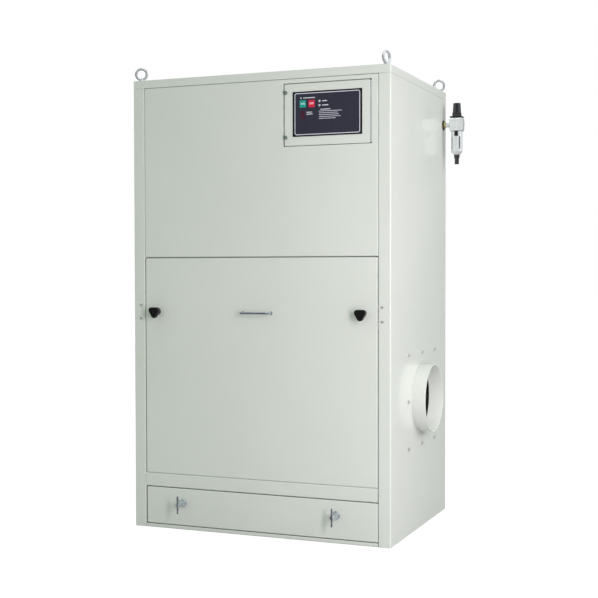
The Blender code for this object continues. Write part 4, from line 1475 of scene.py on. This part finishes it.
@dataclass
class KeyPanel:
    """The membrane key panel on the control door, printed with plain bars.

    Places are measured from the panel's lower left corner.
    """

    finishes: Finishes
    margin_x: float = 0.0087
    margin_z: float = 0.0068
    line: float = 0.0026
    corner: float = 0.006
    film: float = 0.0001
    key_size: Pair = (0.0235, 0.02491)
    key_corner: float = 0.0012
    key_thickness: float = 0.0006
    key_edge: float = 0.0003
    start_key: Pair = (0.0385, 0.1138)
    stop_key: Pair = (0.0716, 0.1136)
    letter_size: float = 0.0095
    lamp_radius: float = 0.0036
    lamp_across: float = 0.101
    lamp_rises: Pair = (0.1210, 0.1062)
    small_lamp: Pair = (0.0316, 0.1342)
    small_share: float = 0.72
    ring_bore: float = 0.76
    lens_share: float = 0.74
    lens_tip: float = 0.6
    lens_height: float = 0.0008
    lens_edge: float = 0.0003
    window: Pair = (0.0382, 0.0744)
    window_size: Pair = (0.0165, 0.0270)
    window_corner: float = 0.0015
    captions: tuple[Bar, ...] = (
        Bar(0.0622, 0.1342, 0.0440, 0.0030),
        Bar(0.1198, 0.1210, 0.0185, 0.0032),
        Bar(0.1220, 0.1062, 0.0230, 0.0032),
        Bar(0.0630, 0.0838, 0.0210, 0.0028),
        Bar(0.0640, 0.0772, 0.0230, 0.0028),
        Bar(0.1230, 0.0918, 0.0370, 0.0026),
    )
    text_lengths: tuple[float, ...] = (0.085, 0.070, 0.074, 0.081, 0.062)
    text_left: float = 0.0985
    text_top: float = 0.0856
    text_pitch: float = 0.0064
    text_height: float = 0.0017
    bar_rounding: float = 0.3

    def build(self) -> None:
        """Lay the prints, keys, lamps and window on the panel."""
        self.lay_field()
        self.lay_key("start_key", "ON", self.start_key, self.finishes.green)
        self.lay_key("stop_key", "OFF", self.stop_key, self.finishes.red)
        self.lay_lamps()
        self.lay_captions()
        self.lay_window()

    def at(self, across: float, rise: float, out: float = 0.0) -> Matrix:
        """The place of a print that stands out from the panel by a little."""
        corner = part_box("keypad")[0]
        return Facing.FRONT.at((corner.x + across, corner.y - out, corner.z + rise))

    def lay(self, obj: bpy.types.Object, place: Matrix, material: bpy.types.Material) -> None:
        """Put a print or key on the panel."""
        Bench.dress(Bench.place(obj, place), material, Body.CONTROL_DOOR, Slot.FILM)

    def lay_field(self) -> None:
        """The dark field inside the border, and the pale line round it."""
        low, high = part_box("keypad")
        panel_width = high.x - low.x
        panel_height = high.z - low.z
        middle = self.at(panel_width / 2, panel_height / 2)
        width = panel_width - 2 * self.margin_x
        height = panel_height - 2 * self.margin_z
        field = Bench.plate("panel_field", width, height, self.corner, self.film)
        self.lay(field, middle, self.finishes.film)
        line = Bench.plate(
            "panel_line", width + self.line, height + self.line,
            self.corner + self.line / 2, 2 * self.film, self.line,
        )
        self.lay(line, middle, self.finishes.ink)

    def lay_key(self, name: str, word: str, spot: Pair, material: bpy.types.Material) -> None:
        """One key with its word.

        Args:
            name: the key's name.
            word: what it says.
            spot: its middle.
            material: its finish.
        """
        key = Bench.plate(name, *self.key_size, self.key_corner, self.key_thickness)
        Bench.soften(key, self.key_edge, 3)
        self.lay(key, self.at(*spot), material)
        Bench.clear()
        bpy.ops.object.text_add()
        label = bpy.context.object
        label.data.body = word
        label.data.size = self.letter_size
        label.data.align_x = "CENTER"
        label.data.align_y = "CENTER"
        label.data.extrude = self.film / 2
        label.name = name + "_word"
        bpy.ops.object.convert(target="MESH")
        out = self.key_thickness + self.film / 2
        self.lay(bpy.context.object, self.at(*spot, out), self.finishes.white_ink)

    def lay_lamps(self) -> None:
        """The pilot lamps: two beside the keys and a small one over them."""
        spots = [(self.lamp_across, rise, self.lamp_radius) for rise in self.lamp_rises]
        spots.append((*self.small_lamp, self.lamp_radius * self.small_share))
        for number, (across, rise, radius) in enumerate(spots):
            place = self.at(across, rise)
            lens = Bench.rod(
                f"lamp_lens_{number}", radius * self.lens_share, 0.0, self.lens_height, 32,
                radius * self.lens_tip,
            )
            Bench.soften(lens, self.lens_edge, 3, 20.0)
            self.lay(lens, place, self.finishes.lens)
            ring = Bench.rod(f"lamp_ring_{number}", radius, 0.0, 3 * self.film, 40)
            inside = Bench.rod("ring_bore", radius * self.ring_bore, -CUT_MARGIN, CUT_MARGIN, 40)
            Bench.boolean(ring, inside, "DIFFERENCE")
            self.lay(ring, place, self.finishes.white_ink)

    def lay_captions(self) -> None:
        """The bars of the captions and, in a block, those of the small print."""
        bars = list(self.captions)
        for number, length in enumerate(self.text_lengths):
            rise = self.text_top - number * self.text_pitch
            bars.append(Bar(self.text_left + length / 2, rise, length, self.text_height))
        plates = []
        for bar in bars:
            rounding = bar.height * self.bar_rounding
            plate = Bench.plate("bar", bar.length, bar.height, rounding, 2 * self.film)
            plates.append(Bench.place(plate, self.at(bar.across, bar.rise)))
        self.lay(Bench.gather("panel_captions", plates), Matrix.Identity(4), self.finishes.ink)

    def lay_window(self) -> None:
        """The dark red display window."""
        window = Bench.plate("display_window", *self.window_size, self.window_corner, 2 * self.film)
        self.lay(window, self.at(*self.window), self.finishes.window)


@dataclass
class ControlLatches:
    """The two quarter-turn latches on the control door."""

    finishes: Finishes
    height: float = 0.007
    taper: float = 0.82
    edge: float = 0.0011
    slot_width: float = 0.0018
    slot_depth: float = 0.002
    slot_reach: float = 1.3
    turn: float = 90.0

    def build(self) -> None:
        """Set a latch at each end of the door's free edge."""
        for side in ("upper", "lower"):
            node = side + "_control_latch"
            low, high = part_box(node)
            middle = (low + high) / 2
            radius = (high.x - low.x) / 2
            latch = Bench.rod("latch", radius, 0.0, self.height, 48, radius * self.taper)
            Bench.soften(latch, self.edge, 3, 20.0)
            size = (radius * self.slot_reach, self.slot_width, 2 * self.slot_depth)
            groove = Bench.block("groove", size, (0.0, 0.0, self.height))
            Bench.boolean(latch, groove, "DIFFERENCE")
            Bench.place(latch, Facing.FRONT.at((middle.x, high.y, middle.z), self.turn))
            latch.name = node + "_slotted"
            Bench.dress(latch, self.finishes.latch, Body.CONTROL_DOOR, Slot.LATCH, [node])


@dataclass
class Regulator:
    """What the filter regulator carries besides its castings: the dial and the cover's screws."""

    finishes: Finishes
    base_radius: float = 0.018
    base_height: float = 0.013
    base_edge: float = 0.0004
    ribs: int = 36
    points_per_rib: int = 6
    rib_depth: float = 0.0007
    grip_share: float = 0.93
    top_radius: float = 0.0145
    top_rounding: float = 0.0012
    dish_margin: float = 0.004
    dish_depth: float = 0.0006

    def build(self) -> None:
        """Model the dial and set the screws."""
        self.dial()
        Fasteners(self.finishes).cover_screws()

    def rim(self, turn: float) -> float:
        """The ribbed base's radius at an angle."""
        return self.base_radius - self.rib_depth * (0.5 + 0.5 * math.cos(self.ribs * turn))

    def dial(self) -> None:
        """The dial: a ribbed base and a tapered grip with a dished top."""
        low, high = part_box("pressure_dial")
        base = Bench.prism("base", self.rim, 0.0, self.base_height, self.ribs * self.points_per_rib)
        Bench.soften(base, self.base_edge)
        grip_radius = self.base_radius * self.grip_share
        grip = Bench.rod(
            "grip", grip_radius, self.base_height / 2, high.z - low.z, 72, self.top_radius
        )
        Bench.soften(grip, self.top_rounding, 4, 30.0)
        with Edit(grip) as edit:
            edit.pick_top()
            edit.step(self.dish_margin, -self.dish_depth)
        dial = Bench.weld(base, grip)
        middle = middle_of("pressure_dial")
        Bench.place(dial, Facing.UP.at((middle.x, middle.y, low.z)))
        dial.name = "pressure_dial_ribbed"
        Bench.dress(dial, self.finishes.satin, Body.DIAL, Slot.BLACK, ["pressure_dial"], 30.0)


@dataclass
class Cartridges:
    """The six pleated cartridges that hang from the tube sheet."""

    finishes: Finishes
    radius: float = 0.111
    pleat_depth: float = 0.013
    pleats: int = 90
    points_per_pleat: int = 6
    crest: float = 0.98
    flange_radius: float = 0.128
    flange: float = 0.010
    flange_edge: float = 0.0012
    flange_overlap: float = 0.001
    cap_radius: float = 0.1138
    cap: float = 0.018
    cap_edge: float = 0.002
    cap_overlap: float = 0.002
    cap_rim: float = 0.010
    cap_depth: float = 0.006
    nut_radius: float = 0.011
    nut_foot: float = 0.0005
    nut_top: float = 0.0065
    nut_edge: float = 0.0006
    strap: float = 0.012
    strap_shares: Pair = (0.36, 0.66)
    strap_inside: float = 0.0002
    strap_outside: float = 0.0012

    def build(self) -> None:
        """Model one cartridge, hang six and remove the model."""
        low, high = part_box("cartridge_front_left")
        length = high.z - low.z
        felt = self.felt(length)
        metal = self.metal(length)
        for row in ("front", "rear"):
            for column in ("left", "middle", "right"):
                node = f"cartridge_{row}_{column}"
                middle = middle_of(node)
                place = Facing.UP.at((middle.x, middle.y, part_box(node)[0].z))
                pack = Bench.copy(felt, node + "_felt", place)
                Bench.dress(pack, self.finishes.felt, Body.CABINET, Slot.FELT, [node], 80.0)
                caps = Bench.copy(metal, node + "_caps", place)
                Bench.dress(caps, self.finishes.sheet_zinc, Body.CABINET, Slot.ZINC)
        for model in (felt, metal):
            bpy.data.objects.remove(model, do_unlink=True)

    def fold(self, turn: float) -> float:
        """The felt's radius at an angle."""
        wave = 2 / math.pi * math.asin(math.cos(self.pleats * turn) * self.crest)
        return self.radius - self.pleat_depth * (0.5 - 0.5 * wave)

    def felt(self, length: float) -> bpy.types.Object:
        """Model the pleated pack, which goes a little way into the cap and the flange.

        Args:
            length: the cartridge's length.

        Returns:
            The pack standing on Z.
        """
        foot = self.cap - self.cap_overlap
        head = length - self.flange + self.flange_overlap
        return Bench.prism("felt", self.fold, foot, head, self.pleats * self.points_per_pleat)

    def metal(self, length: float) -> bpy.types.Object:
        """Model the flange, the bottom cap with its nut, and two straps round the pleats.

        Args:
            length: the cartridge's length.

        Returns:
            All of them as one mesh, standing on Z.
        """
        flange = Bench.rod("flange", self.flange_radius, length - self.flange, length, 96)
        Bench.soften(flange, self.flange_edge, 3)
        cap = Bench.rod("cap", self.cap_radius, 0.0, self.cap, 96)
        Bench.soften(cap, self.cap_edge, 3)
        with Edit(cap) as edit:
            edit.pick_faces(lambda centre, normal: normal.z < -0.99)
            edit.step(self.cap_rim, self.cap_depth)
        nut = Bench.rod("nut", self.nut_radius, self.nut_foot, self.nut_top, 6)
        Bench.soften(nut, self.nut_edge)
        straps = []
        for share in self.strap_shares:
            foot = length * share
            head = foot + self.strap
            strap = Bench.rod("strap", self.radius + self.strap_outside, foot, head, 96)
            bore_radius = self.radius + self.strap_inside
            inside = Bench.rod(
                "strap_bore", bore_radius, foot - CUT_MARGIN, head + CUT_MARGIN, 96
            )
            Bench.boolean(strap, inside, "DIFFERENCE")
            straps.append(strap)
        return Bench.gather("metal", [flange, cap, nut, *straps])


@dataclass(frozen=True)
class Lamp:
    """A soft lamp that shows in no reflection."""

    name: str
    spot: Spot
    target: Spot
    size: Pair
    power: float
    colour: Colour

    def hang(self) -> None:
        """Hang the lamp and turn it to its target. Its power is in watts."""
        data = bpy.data.lights.new(self.name, "AREA")
        data.shape = "RECTANGLE"
        data.size, data.size_y = self.size
        data.energy = self.power
        data.color = self.colour
        lamp = Bench.link(self.name, data)
        lamp.location = self.spot
        lamp.visible_camera = False
        lamp.visible_glossy = False
        ahead = Vector(self.target) - Vector(self.spot)
        lamp.rotation_euler = ahead.to_track_quat("-Z", "Y").to_euler()


@dataclass(frozen=True)
class Card:
    """A card or a strip light that shows in reflections alone, and lights nothing else."""

    name: str
    spot: Spot
    size: Pair
    glow: float
    lowest_aim: float = 0.9

    def stand(self) -> None:
        """Stand the card so that it faces the object."""
        Bench.clear()
        bpy.ops.mesh.primitive_plane_add(size=1.0)
        card = Bench.fresh(self.name)
        towards = Vector((0.0, 0.0, max(self.spot[2], self.lowest_aim))) - Vector(self.spot)
        turn = towards.to_track_quat("Z", "Y").to_matrix().to_4x4()
        size = Matrix.Diagonal((*self.size, 1.0, 1.0))
        Bench.place(card, Matrix.Translation(self.spot) @ turn @ size)
        material = bpy.data.materials.new(self.name)
        material.use_nodes = True
        graph = Graph(material.node_tree)
        glow = graph.node("ShaderNodeEmission", {}, {"Strength": self.glow})
        graph.feed(graph.tree.nodes["Material Output"].inputs["Surface"], glow.outputs[0])
        card.data.materials.append(material)
        card.visible_camera = False
        card.visible_diffuse = False
        card.visible_transmission = False
        card.visible_shadow = False


@dataclass
class Studio:
    """A white studio: camera, backdrop, floor, soft lamps and cards.

    The camera's angles are in radians.
    """

    lens: float = 70.65
    sensor: float = 36.0
    spot: Spot = (1.7071, -4.1999, 0.9616)
    yaw: float = -0.38296
    pitch: float = -0.02573
    roll: float = 0.00166
    floor_size: float = 80.0
    floor_shade: float = 0.50
    floor_roughness: float = 0.9
    floor_white: float = 0.75
    floor_glow: float = 1.26
    sky: float = 0.738
    sky_tint: Colour = (0.885, 1.0, 0.885)
    lamps: tuple[Lamp, ...] = (
        Lamp("key", (1.85, -1.92, 1.04), (0.32, -0.36, 1.06), (0.4, 1.6), 37.2, (1.0, 0.89, 0.99)),
        Lamp("side", (4.30, -0.30, 2.20), (0.50, -0.10, 1.10), (2.0, 2.0), 75.0, (1.0, 0.93, 1.0)),
        Lamp("back", (-1.20, 3.60, 2.40), (0.0, 0.3, 0.9), (2.6, 2.6), 48.0, (1.0, 0.95, 1.0)),
        Lamp("left", (-4.20, 1.30, 2.20), (-0.5, 0.1, 0.9), (2.4, 2.4), 60.0, (1.0, 0.94, 1.0)),
    )
    cards: tuple[Card, ...] = (
        Card("front_card", (-2.6, -6.2, 2.0), (9.0, 4.6), 0.12),
        Card("high_card", (0.0, -3.0, 5.0), (9.0, 6.0), 0.14),
        Card("rear_card", (4.2, 6.8, 2.0), (7.5, 4.6), 0.16),
        Card("right_card", (5.4, -2.4, 1.2), (5.0, 3.2), 0.10),
        Card("strip_light", (0.5, -2.4, 3.8), (1.8, 0.9), 5.0),
        Card("left_card", (-5.4, -0.9, 2.2), (8.0, 5.0), 0.10),
        Card("floor_card", (0.0, 0.0, 0.0005), (16.0, 16.0), 0.20),
    )

    def build(self) -> None:
        """Set up the whole studio."""
        bpy.context.scene.view_settings.view_transform = "Standard"
        self.camera()
        self.world()
        self.floor()
        for lamp in self.lamps:
            lamp.hang()
        for card in self.cards:
            card.stand()

    def camera(self) -> None:
        """Stand the camera where the photograph was taken from."""
        ahead = Vector((
            math.sin(self.yaw) * math.cos(self.pitch),
            math.cos(self.yaw) * math.cos(self.pitch),
            math.sin(self.pitch),
        ))
        right = Vector((math.cos(self.yaw), -math.sin(self.yaw), 0.0))
        down = ahead.cross(right)
        level_right = right * math.cos(self.roll) + down * math.sin(self.roll)
        level_down = down * math.cos(self.roll) - right * math.sin(self.roll)
        turn = Matrix((level_right, -level_down, -ahead)).transposed()
        data = bpy.data.cameras.new("camera")
        data.lens = self.lens
        data.sensor_width = self.sensor
        data.clip_end = 200.0
        camera = Bench.link("camera", data)
        camera.matrix_world = Matrix.Translation(self.spot) @ turn.to_4x4()
        bpy.context.scene.camera = camera

    def seen(self, graph: Graph) -> Value:
        """Tell the rays that look at the background from those that light the object.

        Args:
            graph: the nodes of the backdrop or the floor.

        Returns:
            1 for rays from the camera, from a mirror or through glass, and 0 for others.
        """
        path = graph.node("ShaderNodeLightPath")
        camera, glossy, through = (
            Value(graph, path.outputs[name])
            for name in ("Is Camera Ray", "Is Glossy Ray", "Is Transmission Ray")
        )
        return camera.larger(glossy).larger(through)

    def world(self) -> None:
        """White where it is seen, and a softer pale light on the object."""
        world = bpy.data.worlds.new("studio")
        world.use_nodes = True
        bpy.context.scene.world = world
        graph = Graph(world.node_tree)
        back = world.node_tree.nodes["Background"]
        seen = self.seen(graph)
        graph.feed(back.inputs["Color"], graph.blend(seen, self.sky_tint, (1.0, 1.0, 1.0)))
        graph.feed(back.inputs["Strength"], self.sky + seen * (1.0 - self.sky))

    def floor(self) -> None:
        """A floor that looks nearly white and keeps the object's shadow."""
        Bench.clear()
        bpy.ops.mesh.primitive_plane_add(size=self.floor_size)
        floor = Bench.fresh("floor")
        material = bpy.data.materials.new("studio_floor")
        material.use_nodes = True
        graph = Graph(material.node_tree)
        matt = graph.tree.nodes["Principled BSDF"]
        matt.inputs["Base Color"].default_value = (*(self.floor_shade,) * 3, 1.0)
        matt.inputs["Roughness"].default_value = self.floor_roughness
        glow = graph.node("ShaderNodeEmission", {}, {"Strength": self.floor_glow})
        mixed = graph.node("ShaderNodeMixShader", {}, {0: self.seen(graph) * self.floor_white})
        graph.feed(mixed.inputs[1], matt.outputs[0])
        graph.feed(mixed.inputs[2], glow.outputs[0])
        graph.feed(graph.tree.nodes["Material Output"].inputs["Surface"], mixed.outputs[0])
        floor.data.materials.append(material)


def main() -> None:
    """Build the studio and dress the collector, one sub-assembly after another."""
    logging.basicConfig(level=logging.INFO, format="%(message)s")
    Studio().build()
    finishes = Finishes()
    for assembly in (
        SheetWork(finishes),
        LiftingEyes(finishes),
        ClampKnobs(finishes),
        WingBolts(finishes),
        PullHandle(finishes),
        Fasteners(finishes),
        KeyPanel(finishes),
        ControlLatches(finishes),
        Regulator(finishes),
        Cartridges(finishes),
    ):
        assembly.build()


if __name__ == "__main__":
    main()
